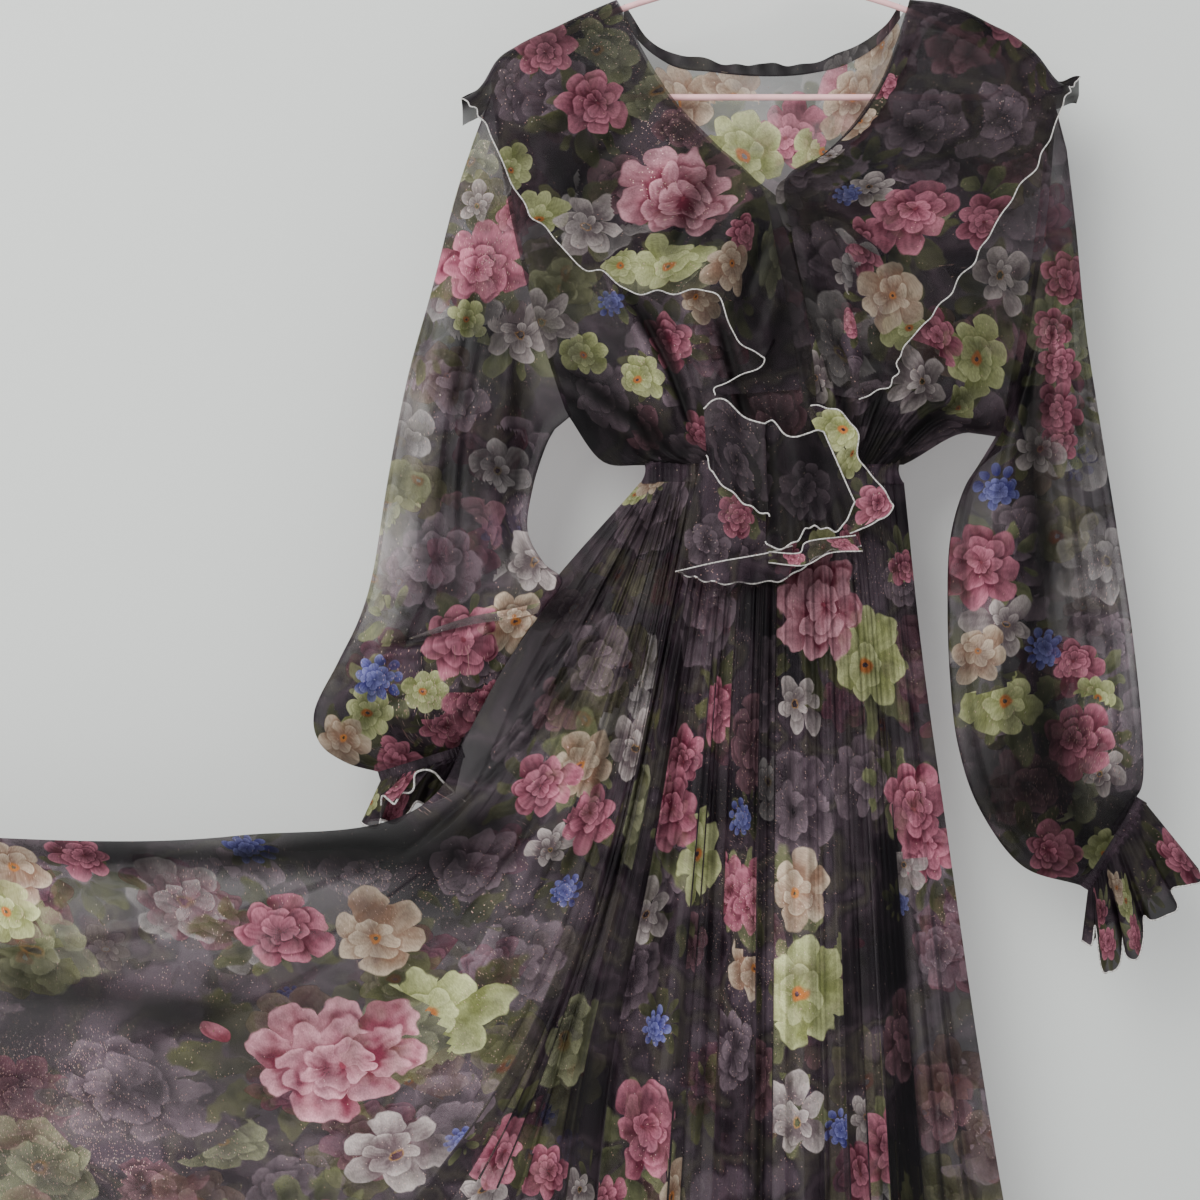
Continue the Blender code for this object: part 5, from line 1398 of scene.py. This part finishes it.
# Sleeves are tubes, a row for each ring from the armhole to the wrist.
sleeveLeft = {
    "side": "left", "columns": 190, "rows": 150,
    "rings": (  # outer x, z, inner x, z, bow, half depth, middle y
        (-217, -208, -156, -424, 7, 13, 0), (-231, -252, -163, -438, 5, 15, -1),
        (-248, -320, -172, -467, 3, 17, -4), (-266, -387, -176, -500, 0, 18, -8),
        (-280, -462, -164, -524, 0, 19, -14), (-290, -529, -150, -538, 0, 18, -22),
        (-300, -565, -166, -562, 0, 17, -26), (-316, -598, -192, -600, 0, 16, -26),
        (-334, -634, -212, -636, 0, 15, -20), (-331, -659, -219, -649, 0, 13, -10),
        (-312, -674, -223, -656, 0, 12, -2), (-289, -681, -226, -661, 0, 10, 3),
    ),
    "folds": (  # turn at the shoulder, at the wrist, width, depth, from, to
        (0.10, 0.16, 0.05, 5.0, 0.02, 0.85), (0.22, 0.20, 0.04, -5.0, 0.05, 0.90),
        (0.31, 0.33, 0.05, 5.0, 0.00, 0.70), (0.40, 0.42, 0.04, -4.0, 0.20, 0.95),
        (0.60, 0.62, 0.05, 4.0, 0.05, 0.90), (0.72, 0.68, 0.05, -4.0, 0.02, 0.80),
        (0.83, 0.86, 0.05, 4.0, 0.10, 0.95),
    ),
    "gathers": {"seed": 71, "count": 26, "depth": 2.6, "reach": (0.08, 0.26)},
    "overlaps": ((0.170, 0.428, 0.02, 0.66, 0.8, 0), (0.215, 0.245, 0.02, 0.80, 0.6, 0),
                 (0.330, 0.350, 0.05, 0.85, 0.7, 0)) + narrowFolds(75, 10, (0.3, 0.7), (0.006, 0.016)),
    "tone": -0.30,
    "shadeAndPaleBlots": (
        (-270, -400, 22, 90, 0.55), (-285, -520, 22, 70, 0.60), (-236, -250, 18, 60, 0.50),
        (-176, -520, 22, 40, 0.60), (-230, -610, 40, 30, 0.12), (-250, -655, 60, 40, -0.12),
        (-196, -390, 26, 80, -0.42),
    ),
    "denseAndShaded": ((-270, -640, 60, 46, 1.3), (-215, -615, 50, 46, 1.3), (-172, -515, 22, 40, -0.7),
              (-196, -400, 20, 90, 0.9), (-286, -500, 18, 90, -0.4)),
    "sparkles": ((-240, -640, 40, 40, 0.10), (-210, -300, 30, 40, 0.06)),
    "creases": (
        (-222, -230, -262, -470, 4, 6, 3.4), (-205, -260, -236, -520, 4, 6, -3.4),
        (-190, -320, -196, -530, -3, 5, 3.2), (-172, -400, -190, -560, 3, 4, -3.2),
        (-310, -590, -160, -549, 7, 2.6, -5.0), (-310, -597, -160, -557, 7, 4, 4.0),
        (-320, -640, -236, -640, -5, 5, 3.0), (-310, -655, -245, -600, 3, 5, -2.6),
    ),
    "flowers": (
        ("rose", -210, -300, 33), ("rose", -193, -273, 20), ("white", -212, -256, 16),
        ("blue", -226, -268, 9), ("lime", -186, -261, 18), ("white", -179, -350, 26),
        ("leafPale", -205, -327, 45), ("lime", -220, -342, 15), ("rose", -226, -584, 30),
        ("cream", -187, -568, 24), ("blue", -284, -609, 18), ("rose", -214, -627, 26),
        ("cream", -313, -658, 22), ("lime", -292, -636, 21), ("lime", -250, -620, 16),
        ("rose", -274, -672, 20), ("rose", -238, -646, 18), ("ghostMauve", -242, -526, 40),
        ("ghostGreen", -278, -477, 34), ("ghostGrey", -269, -432, 33), ("ghostRose", -220, -500, 33),
        ("ghostGreen", -284, -537, 30), ("ghostMauve", -235, -402, 38), ("white", -167, -526, 26),
        ("ghostGrey", -235, -462, 30), ("leafPale", -272, -567, 33), ("leafDark", -242, -604, 38),
        ("leafPale", -302, -627, 30), ("ghostGrey", -197, -454, 26), ("leafDark", -250, -364, 33),
        ("ghostGreen", -220, -222, 26),
    ),
    "behind": (
        ("lime", -205, -250, 24), ("rose", -230, -305, 28), ("white", -196, -345, 22),
        ("cream", -242, -382, 24), ("rose", -205, -432, 28), ("lime", -262, -468, 24),
        ("rose", -226, -522, 28), ("white", -272, -540, 22), ("blue", -196, -500, 14),
        ("rose", -282, -602, 26), ("lime", -236, -612, 24), ("cream", -250, -652, 20),
    ),
    "seed": 72, "bunches": 12, "bunchesIn": (-400, -300, -700, -200), "ghosts": 26,
    "flat": (0.44, 0.50), "area": 0.125, "held": "hung", "restsOn": ["backBodice", "frontBodiceLeft"],
}
sleeveRight = {
    "side": "right", "columns": 190, "rows": 150,
    "rings": (
        (228, -214, 178, -440, 7, 13, 0), (235, -274, 168, -448, 5, 15, 0),
        (242, -350, 152, -466, 3, 18, -2), (253, -424, 140, -507, 0, 20, -4),
        (266, -507, 138, -560, 0, 21, -5), (275, -567, 140, -612, 0, 21, -5),
        (282, -627, 146, -661, 0, 20, -4), (285, -672, 162, -708, 0, 18, -3),
        (284, -691, 194, -751, 0, 14, -2), (280, -699, 238, -766, 0, 10, 0),
    ),
    "folds": (
        (0.10, 0.14, 0.05, 4.0, 0.02, 0.90), (0.19, 0.22, 0.04, -4.0, 0.05, 0.95),
        (0.30, 0.30, 0.05, 5.0, 0.00, 0.85), (0.41, 0.38, 0.04, -4.0, 0.20, 0.95),
        (0.60, 0.63, 0.05, 4.0, 0.05, 0.90), (0.74, 0.70, 0.05, -4.0, 0.02, 0.85),
        (0.86, 0.84, 0.05, 4.0, 0.10, 0.95),
    ),
    "gathers": {"seed": 73, "count": 26, "depth": 2.6, "reach": (0.08, 0.26)},
    "overlaps": ((0.243, 0.330, 0.22, 0.97, 1.4, 26), (0.120, 0.142, 0.05, 0.85, 0.9, 0),
                 (0.395, 0.410, 0.25, 0.95, 0.9, 0)) + narrowFolds(76, 10, (0.3, 0.7), (0.006, 0.016)),
    "tone": -0.58,
    "shadeAndPaleBlots": (
        (268, -560, 18, 110, 0.60), (262, -420, 16, 80, 0.40), (164, -560, 18, 60, 0.40),
        (200, -700, 60, 40, -0.25), (198, -390, 11, 60, -0.30), (206, -510, 11, 60, -0.30),
        (200, -650, 24, 40, -0.30),
    ),
    "denseAndShaded": ((276, -560, 14, 110, -0.5), (148, -560, 12, 90, -0.3), (220, -710, 60, 50, 1.2),
              (198, -390, 11, 60, 1.6), (206, -510, 10, 60, 1.4), (200, -650, 24, 40, 1.0)),
    "sparkles": ((210, -690, 40, 30, 0.10), (230, -640, 20, 30, 0.08)),
    "creases": (
        (206, -240, 204, -430, -5, 6, 3.4), (224, -260, 236, -560, -4, 6, -3.2),
        (202, -418, 190, -560, -6, 5, -4.0), (190, -560, 182, -690, 5, 5, -3.8),
        (204, -440, 178, -640, -4, 6, 3.4), (186, -690, 236, -738, -12, 5, 3.4),
        (164, -480, 158, -640, 3, 6, 3.0), (246, -430, 262, -640, -3, 6, 3.0),
    ),
    "flowers": (
        ("rose", 214, -352, 15), ("rose", 217, -378, 17), ("rose", 219, -408, 18), ("rose", 217, -434, 15),
        ("rose", 162, -526, 28), ("white", 176, -570, 26), ("cream", 161, -594, 22), ("lime", 174, -627, 28),
        ("blue", 206, -586, 16), ("rose", 230, -600, 20), ("rose", 233, -658, 27), ("white", 250, -678, 20),
        ("lime", 245, -620, 16), ("rose", 144, -572, 20), ("rose", 215, -740, 22), ("white", 203, -441, 21),
        ("blue", 173, -468, 16), ("rose", 227, -312, 21), ("leafPale", 166, -582, 45),
        ("leafPale", 238, -634, 34), ("leafDark", 215, -477, 38), ("ghostGrey", 250, -522, 38),
        ("ghostMauve", 193, -507, 38), ("ghostMauve", 253, -582, 34), ("ghostRose", 193, -687, 34),
        ("ghostGreen", 223, -350, 33), ("ghostMauve", 170, -687, 30), ("leafDark", 178, -657, 33),
        ("lime", 253, -740, 15),
    ),
    "behind": (
        ("rose", 205, -262, 26), ("lime", 222, -312, 24), ("white", 192, -346, 22), ("rose", 214, -402, 28),
        ("cream", 204, -452, 22), ("blue", 236, -450, 14), ("lime", 226, -502, 26), ("rose", 180, -532, 28),
        ("white", 246, -560, 22), ("rose", 214, -602, 28), ("lime", 182, -640, 24), ("cream", 246, -660, 22),
        ("rose", 216, -702, 24),
    ),
    "seed": 74, "bunches": 10, "bunchesIn": (300, 500, -800, -200), "ghosts": 26,
    "flat": (0.46, 0.52), "area": 0.135, "held": "hung", "restsOn": ["backBodice", "frontBodiceRight"],
}
sleeveFold = {  # the rolled edge where the left sleeve is turned over on itself
    "lines": (  # x, z along its top, then along its low edge
        (-262, -580, -262, -581), (-247, -574, -246, -577.5), (-230, -568, -229, -573),
        (-214, -563.5, -213, -569.5), (-190, -559, -189, -566), (-166, -554, -168, -562),
    ),
    "columns": 70, "rows": 8, "lift": 1.6, "near": 4, "evenOut": 9,
    # Its tone above zero paints the rolled edge paler: a painted highlight along the roll.
    "flowers": (("cream", -184, -562, 12),), "seed": 77, "tone": 0.25, "fullnessAndShade": 1.6,
    "flat": (0.105, 0.010), "area": 0.0006, "held": "draped", "restsOn": ["sleeveLeft"],
}


def foldStrip(spec, under):
    lines = curve(evenRows(spec["lines"]), np.linspace(0, 1, spec["columns"]))
    grid = []
    for share in np.linspace(0, 1, spec["rows"]):
        x, z = (lines[:, k] + (lines[:, k + 2] - lines[:, k]) * share for k in (0, 1))
        y = [min(under[(abs(under[..., 0] - a) < spec["near"]) & (abs(under[..., 2] - b) < spec["near"]), 1])
             for a, b in zip(x, z)]
        count = spec["evenOut"]
        y = np.convolve(np.pad(y, count // 2, "edge"), np.ones(count) / count, "valid")
        grid.append(np.stack([x, y - spec["lift"] * math.sin(math.pi * (0.15 + 0.7 * share)), z], axis=1))
    return evenCloth(grid)


# A tube's last column is its first one again.
def tubeGrid(rings):
    grid = np.array(rings)
    grid[:, -1] = grid[:, 0]
    return grid


sleeveWaves = 6
sleeveWaveDepth = 3.0
foldFade = 0.15
tuckedIn = 3.5


def sleeveTube(spec):
    angle = np.linspace(0, 2 * np.pi, spec["columns"])
    turn = angle / (2 * np.pi)
    side = spec["side"]
    front = np.sin(angle) > 0
    outward = math.copysign(1, body["armholes"][side]["top"][0])
    x, z = armhole(side, (1 - np.cos(angle)) / 2)
    y = np.where(front, -standOff(x, z, "front"), standOff(x, z, "back"))
    under = smooth(0.85, 1, (1 - np.cos(angle)) / 2)
    rings = [np.stack([x - outward * tuckedIn, y * 0.75, z - 2 * body["seamGap"] * under], axis=1)]
    places = np.linspace(0, 1, spec["rows"])
    reliefs = [np.zeros_like(angle)]
    for place, row in zip(places, curve(evenRows(spec["rings"]), places)):
        xOut, zOut, xIn, zIn, bow, depth, yMid = row
        ring = np.array([(xOut + xIn) / 2, yMid, (zOut + zIn) / 2])
        ring = ring + np.cos(angle)[:, None] * np.array([(xOut - xIn) / 2, 0, (zOut - zIn) / 2])
        ring[:, 0] += outward * bow * np.sin(angle) ** 2
        waves = np.cos(sleeveWaves * angle + 0.6 * (angle > np.pi))
        relief = sleeveWaveDepth * np.sin(np.pi * place) ** 0.7 * waves
        for top, wrist, width, fold, start, end in spec["folds"]:
            away = np.abs((turn - top - (wrist - top) * place + 0.5) % 1 - 0.5) / width
            fade = smooth(start, start + foldFade, place) * (1 - smooth(end - foldFade, end, place))
            relief = relief + fold * fade * cosineRidge(away)
        relief = relief + gathers(turn, 1 - place, spec["gathers"]) * (1 - smooth(0.97, 1, place))
        relief = relief + creases(ring[:, 0], ring[:, 2], spec["creases"]) * front
        ring[:, 1] -= np.sin(angle) * (depth + relief)
        rings.append(ring)
        reliefs.append(relief)
    place = np.concatenate([[0], places])[:, None]
    layers, hidden = foldedOver(turn[None, :], place, spec["overlaps"])
    # The wrist, the wave folds and the folded-over layers count as more gathered, which makes them less
    # clear and darkens them by painted shade. Relief paints the fold ridges lighter and the troughs darker.
    gathered = 1 + smooth(0.82, 1, place) + 0.2 * np.cos(sleeveWaves * angle)[None, :] ** 2 + layers
    hidden = hidden * (1 - smooth(0.9, 1, turn))[None, :]
    return {"grid": tubeGrid(rings), "gathered": gathered, "hidden": hidden, "seenFlat": True,
            "relief": 0.022 * np.array(reliefs)}


# Cuffs: elastic at the wrist, and a frill that fans out below it.
cuffLeft = {
    "y": 6, "depth": 10, "tone": -0.2, "columns": 400, "rows": 40,
    "frontHem": (  # place from the outer side to the inner one, x, z, how far it stands out
        (0.00, -301.5, -719, 0), (0.08, -298, -721, 3), (0.20, -287, -720, 2), (0.26, -286, -709, -2),
        (0.32, -285, -699, 2), (0.40, -279, -702, 5), (0.46, -275, -704, 6), (0.52, -271, -697, 3),
        (0.60, -264, -696, 2), (0.66, -261, -692, 4), (0.71, -260.5, -683, 5), (0.78, -254, -679, 6),
        (0.86, -246, -681, 6), (0.94, -240, -688, 4), (1.00, -231, -697, 0),
    ),
    "backHem": (
        (0.00, -301.5, -719, 0), (0.20, -286, -718, -3), (0.30, -278, -721, 4), (0.40, -271, -717, 1),
        (0.50, -266, -712, -3), (0.62, -260, -704, -4), (0.72, -254, -707, 2), (0.84, -246, -705, 4),
        (0.93, -238, -701, 3), (1.00, -231, -697, 0),
    ),
    "flowers": (("rose", -275, -691, 19), ("lime", -295, -704, 11), ("leafPale", -290, -700, 14)),
    "behind": (("rose", -276, -708, 16), ("leafDark", -240, -690, 14)), "seed": 81,
    "flat": (0.16, 0.035), "area": 0.0036, "held": "gathered", "restsOn": ["cuffBandLeft"],
    "band": {"seed": 82, "slot": "gathered_chiffon", "flat": (0.15, 0.01), "area": 0.0012,
             "held": "gathered", "restsOn": ["sleeveLeft"]},
}
cuffRight = {
    "y": -4, "depth": 12, "fullnessAndShade": 1.3, "columns": 400, "rows": 50,
    "frontHem": (
        (0.00, 326, -753, 0), (0.05, 327, -760.5, 3), (0.14, 316.5, -764, 6), (0.22, 304, -769, -3),
        (0.27, 307, -779, 5), (0.36, 298, -786, 8), (0.45, 287, -790, 2), (0.50, 283.5, -788, -5),
        (0.55, 282, -803, 3), (0.61, 276, -818, 8), (0.66, 269, -816, 3), (0.71, 268.5, -799.5, -6),
        (0.76, 265, -820.5, 4), (0.83, 256.5, -828, 8), (0.88, 251, -823.5, 3), (0.91, 248, -796, -4),
        (0.95, 245, -809, 3), (1.00, 238.5, -807, 0),
    ),
    "backHem": (
        (0.00, 326, -753, 0), (0.12, 317, -760, 8), (0.25, 303, -763, -3), (0.38, 294, -778, 8),
        (0.50, 283, -776, -3), (0.62, 273, -796, 8), (0.75, 262, -794, -3), (0.88, 250, -808, 7),
        (1.00, 238.5, -807, 0),
    ),
    "flowers": (
        ("rose", 314, -746, 22), ("rose", 256, -808, 13), ("rose", 251, -786, 12), ("rose", 276, -802, 13),
        ("lime", 270, -776, 15), ("cream", 262, -766, 13), ("leafPale", 300, -736, 18),
        ("leafDark", 284, -770, 24),
    ),
    "behind": (("rose", 300, -746, 18), ("lime", 268, -778, 16)), "seed": 83, "tone": -0.35,
    "flat": (0.30, 0.08), "area": 0.0155, "held": "gathered", "restsOn": ["cuffBandRight"],
    "band": {"seed": 84, "slot": "gathered_chiffon", "flat": (0.17, 0.01), "area": 0.0014,
             "held": "gathered", "restsOn": ["sleeveRight"]},
}


elastic = {"length": 8.0, "overlap": 1.6, "columns": 260, "rows": 11, "ripple": 0.7}


def elasticRipple(angle):
    return elastic["ripple"] * np.sin(34 * angle + 1.5 * np.sin(5 * angle))


# The two ends of the wrist, and the way that the cuff hangs from it.
def wristAxes(row):
    outer = np.array(row[0:2], dtype=float)
    inner = np.array(row[2:4], dtype=float)
    across = (outer - inner) / np.hypot(*(outer - inner))
    along = np.array([across[1], -across[0]])
    return outer, inner, along if along[1] < 0 else -along


def cuffBandTube(row):
    angle = np.linspace(0, 2 * np.pi, elastic["columns"])
    outer, inner, along = wristAxes(row)
    ripple = elasticRipple(angle)
    rings = []
    for reach in np.linspace(-elastic["overlap"], elastic["length"] + elastic["overlap"], elastic["rows"]):
        high, low = outer + along * reach, inner + along * reach
        flat = (high + low) / 2 + np.cos(angle)[:, None] * (high - low) / 2 + (ripple * 0.4)[:, None] * along
        y = row[6] - np.sin(angle) * (row[5] - 1 + ripple)
        rings.append(np.stack([flat[:, 0], y, flat[:, 1]], axis=1))
    return evenCloth(tubeGrid(rings), 2.4)


def cuffFrillTube(spec, row):
    angle = np.linspace(0, 2 * np.pi, spec["columns"])
    outer, inner, along = wristAxes(row)
    place = (1 - np.cos(angle)) / 2
    inFront = (np.sin(angle) > 0)[:, None]
    hem = np.where(inFront, curve(spec["frontHem"], place), curve(spec["backHem"], place))
    top = outer + along * (elastic["length"] - 1.0) + (inner - outer) * place[:, None]
    rings = []
    for share in np.linspace(0, 1, spec["rows"]):
        flat = top + (hem[:, :2] - top) * share
        ripple = hem[:, 2] * share + share**2 * np.sin(19 * angle + 2 * np.sin(3 * angle))
        ripple = ripple + (1 - share) * elasticRipple(angle)
        middle = row[6] + (spec["y"] - row[6]) * share
        depth = row[5] - 1 + (spec["depth"] - row[5] + 1) * share
        rings.append(np.stack([flat[:, 0], middle - np.sin(angle) * (depth + ripple), flat[:, 1]], axis=1))
    share = np.linspace(0, 1, spec["rows"])[:, None]
    # Painted shade: the flute valleys and the back half count as much more gathered, which darkens their
    # colour as well as making them less clear.
    valleys = smooth(4, -3, hem[:, 2])[None, :]
    behind = 3.0 * smooth(0.1, -0.2, np.sin(angle))[None, :]
    full = 2.5 + (1 - share) ** 2 + 3.2 * valleys * share + behind
    return {"grid": tubeGrid(rings), "gathered": full}


backward = (0, 1, 0)
print("bodice")
clothPiece("backBodice", "back_bodice", backPanel(backBodice), backBodice, backward)
clothPiece("frontBodiceLeft", "front_bodice_left", frontPanel(frontLeft), frontLeft)
clothPiece("frontBodiceRight", "front_bodice_right", frontPanel(frontRight), frontRight)

print("flounces and frills")
clothPiece("flounceLeft", "flounce_left", flouncePanel(flounceLeft), flounceLeft)
clothPiece("flounceRight", "flounce_right", flouncePanel(flounceRight), flounceRight)
clothPiece("neckBandBack", "neck_band_back", neckBandPanel(neckBand), neckBand, backward)
clothPiece("neckFrillRight", "neck_frill_right", neckFrillPanel(neckFrill), neckFrill)

print("waist")
clothPiece("waistband", "waistband", waistbandTube(waistband), waistband, closed=True)
for name, node, spec in (("cascadeUnder", "cascade_under", cascadeUnder),
                         ("cascadeFold", "cascade_under", cascadeFold),
                         ("cascadePocket", "cascade_under", cascadePocket),
                         ("cascadeSide", "cascade_side", cascadeSide),
                         ("cascadeFront", "cascade_front", cascadeFront)):
    clothPiece(name, node, cascadePanel(spec), spec)

print("skirt")
clothPiece("skirtFront", "skirt_front", skirtPanel("front", skirtFront), skirtFront)
clothPiece("skirtBack", "skirt_back", skirtPanel("back", skirtBack), skirtBack, backward)

print("sleeves")
for name, spec, cuff in (("Left", sleeveLeft, cuffLeft), ("Right", sleeveRight, cuffRight)):
    side = name.lower()
    wrist = spec["rings"][-1]
    clothPiece("sleeve" + name, "sleeve_" + side, sleeveTube(spec), spec, closed=True)
    clothPiece("cuffBand" + name, "cuff_band_" + side, cuffBandTube(wrist), cuff["band"], closed=True)
    clothPiece("cuffFrill" + name, "cuff_frill_" + side, cuffFrillTube(cuff, wrist), cuff, closed=True)
clothPiece("sleeveLeftFold", "sleeve_left", foldStrip(sleeveFold, grids["sleeveLeft"]), sleeveFold)

# White overlocked edges.
print("edges")
fall, side, pocket = grids["cascadeFront"], grids["cascadeSide"], grids["cascadePocket"]
edges = {  # the line that each runs along, and its thread's radius
    "FlounceLeft": (grids["flounceLeft"][7:, -1], 0.5), "FlounceRight": (grids["flounceRight"][7:, -1], 0.5),
    "CascadeLeft": (fall[-1, :56], 0.6), "CascadeLow": (fall[-1, 66:], 0.6),
    "CascadeRight": (fall[:, -1], 0.6), "CascadeTop": (fall[0], 0.6),
    "CascadeSide": (side[-1], 0.55), "CascadeSideEnd": (side[:, -1], 0.55),
    "CascadeUnder": (grids["cascadeUnder"][-1], 0.6), "CascadeFold": (grids["cascadeFold"][0], 0.5),
    "PocketTop": (pocket[0], 0.5), "PocketLow": (pocket[-1], 0.5),
    "CuffLeft": (grids["cuffFrillLeft"][-1][:-1], 0.8), "CuffRight": (grids["cuffFrillRight"][-1][:-1], 0.6),
    "HemFront": (grids["skirtFront"][-1], 0.7), "HemBack": (grids["skirtBack"][-1], 0.7),
}
for name, (path, radius) in edges.items():
    roundLine("edge" + name, path, radius, threadFinish, cyclic="Cuff" in name)

# The hanger: a bar bent to a triangle, and the hook above it.
print("hanger")
bar = {
    "radius": 2.4, "hookRadius": 21.0, "hookWire": 1.8, "hookTurn": (-42, 205),
    "half": (  # x, z from the top to the middle of the lower bar
        (0, -76.5), (12, -80), (60, -94.5), (109, -110), (150, -128.5), (172, -141), (183, -151),
        (184, -163), (175, -172.5), (160, -175), (80, -175),
    ),
}
half = curve(evenRows(bar["half"]), np.linspace(0, 1, 60))
loop = [(x, 0, z) for x, z in half] + [(-x, 0, z) for x, z in half[:0:-1]]
barPiece = roundLine("hangerBar", loop, bar["radius"], hangerFinish, cyclic=True, sides=4)
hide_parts("hanger_frame")
foot = bar["half"][0][1] + bar["radius"] + 0.4
turns = np.radians(np.linspace(*bar["hookTurn"], 60))
hook = [(0, 0, foot), (0, 0, -60), (0.6, 0, -56), (2.5, 0, -51), (5, 0, -46.4), (8, 0, -42)]
hook += [(bar["hookRadius"] * math.cos(t), 0,
          bar["hookWire"] - bar["hookRadius"] + bar["hookRadius"] * math.sin(t)) for t in turns]
hookPiece = roundLine("hangerHook", hook, bar["hookWire"], hangerFinish, sides=4)
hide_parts("hanger_hook")

# A pale room: a floor, and a wall behind the dress that is clear from its own back.
print("room")
room = {
    "wall": (0.66, 0.68, 0.665), "floor": (0.72, 0.72, 0.71), "darker": 0.95, "patches": 1.5,
    "roughness": 0.85, "wallY": 0.082, "wallTop": 2.4, "wallHalf": 4, "floorZ": -1.60, "floorHalf": 5,
    "air": (0.95, 0.98, 1.0, 1), "ambient": 1.0,
    "lamp": 95.0, "lampSize": 1.8, "lampColour": (1.0, 0.99, 0.96), "lampPlace": (-1.3, -2.1, 0.9),
    "lampAim": (-0.1, 0, -0.5),
}


def roomMaterial(name, colour, oneSided=False):
    made, tree, shader, place = newMaterial(name)
    soft = noise(tree, place, room["patches"])[0]
    darker = tuple(room["darker"] * c for c in colour)
    join(tree, blend(tree, soft, colour, darker), shader.inputs["Base Color"])
    shader.inputs["Roughness"].default_value = room["roughness"]
    if oneSided:
        clearWhere(tree, addNode(tree, "ShaderNodeNewGeometry").outputs["Backfacing"], shader)
    return made


def roomPlane(name, corners, finish):
    work = bmesh.new()
    work.faces.new([work.verts.new(corner) for corner in corners])
    mesh = bpy.data.meshes.new(name)
    work.to_mesh(mesh)
    work.free()
    mesh.materials.append(finish)
    piece = newPiece(name, mesh)


y, z, top, half = room["wallY"], room["floorZ"], room["wallTop"], room["wallHalf"]
roomPlane("wall", ((-half, y, z), (half, y, z), (half, y, top), (-half, y, top)),
          roomMaterial("paleWall", room["wall"], oneSided=True))
half = room["floorHalf"]
roomPlane("floor", ((-half, -half, z), (half, -half, z), (half, half, z), (-half, half, z)),
          roomMaterial("paleFloor", room["floor"]))

world = bpy.data.worlds.new("softRoom")
bpy.context.scene.world = world
world.use_nodes = True
background = world.node_tree.nodes["Background"]
background.inputs[0].default_value = room["air"]
background.inputs[1].default_value = room["ambient"]
lampData = bpy.data.lights.new("window", "AREA")
lampData.shape = "DISK"
lampData.size = room["lampSize"]
lampData.energy = room["lamp"]
lampData.color = room["lampColour"]
lamp = newPiece("window", lampData)
lamp.location = room["lampPlace"]
lamp.rotation_euler = (Vector(room["lampAim"]) - lamp.location).to_track_quat("-Z", "Y").to_euler()

cameraPlace = (-0.122, -2.0, -0.552)
shownWidth = 0.90  # metres across at the hanger's own depth
cameraData = bpy.data.cameras.new("camera")
cameraData.sensor_fit = "HORIZONTAL"
cameraData.angle = 2 * math.atan(shownWidth / 2 / -cameraPlace[1])
camera = newPiece("camera", cameraData)
camera.location = cameraPlace
camera.rotation_euler = (math.pi / 2, 0, 0)
bpy.context.scene.camera = camera
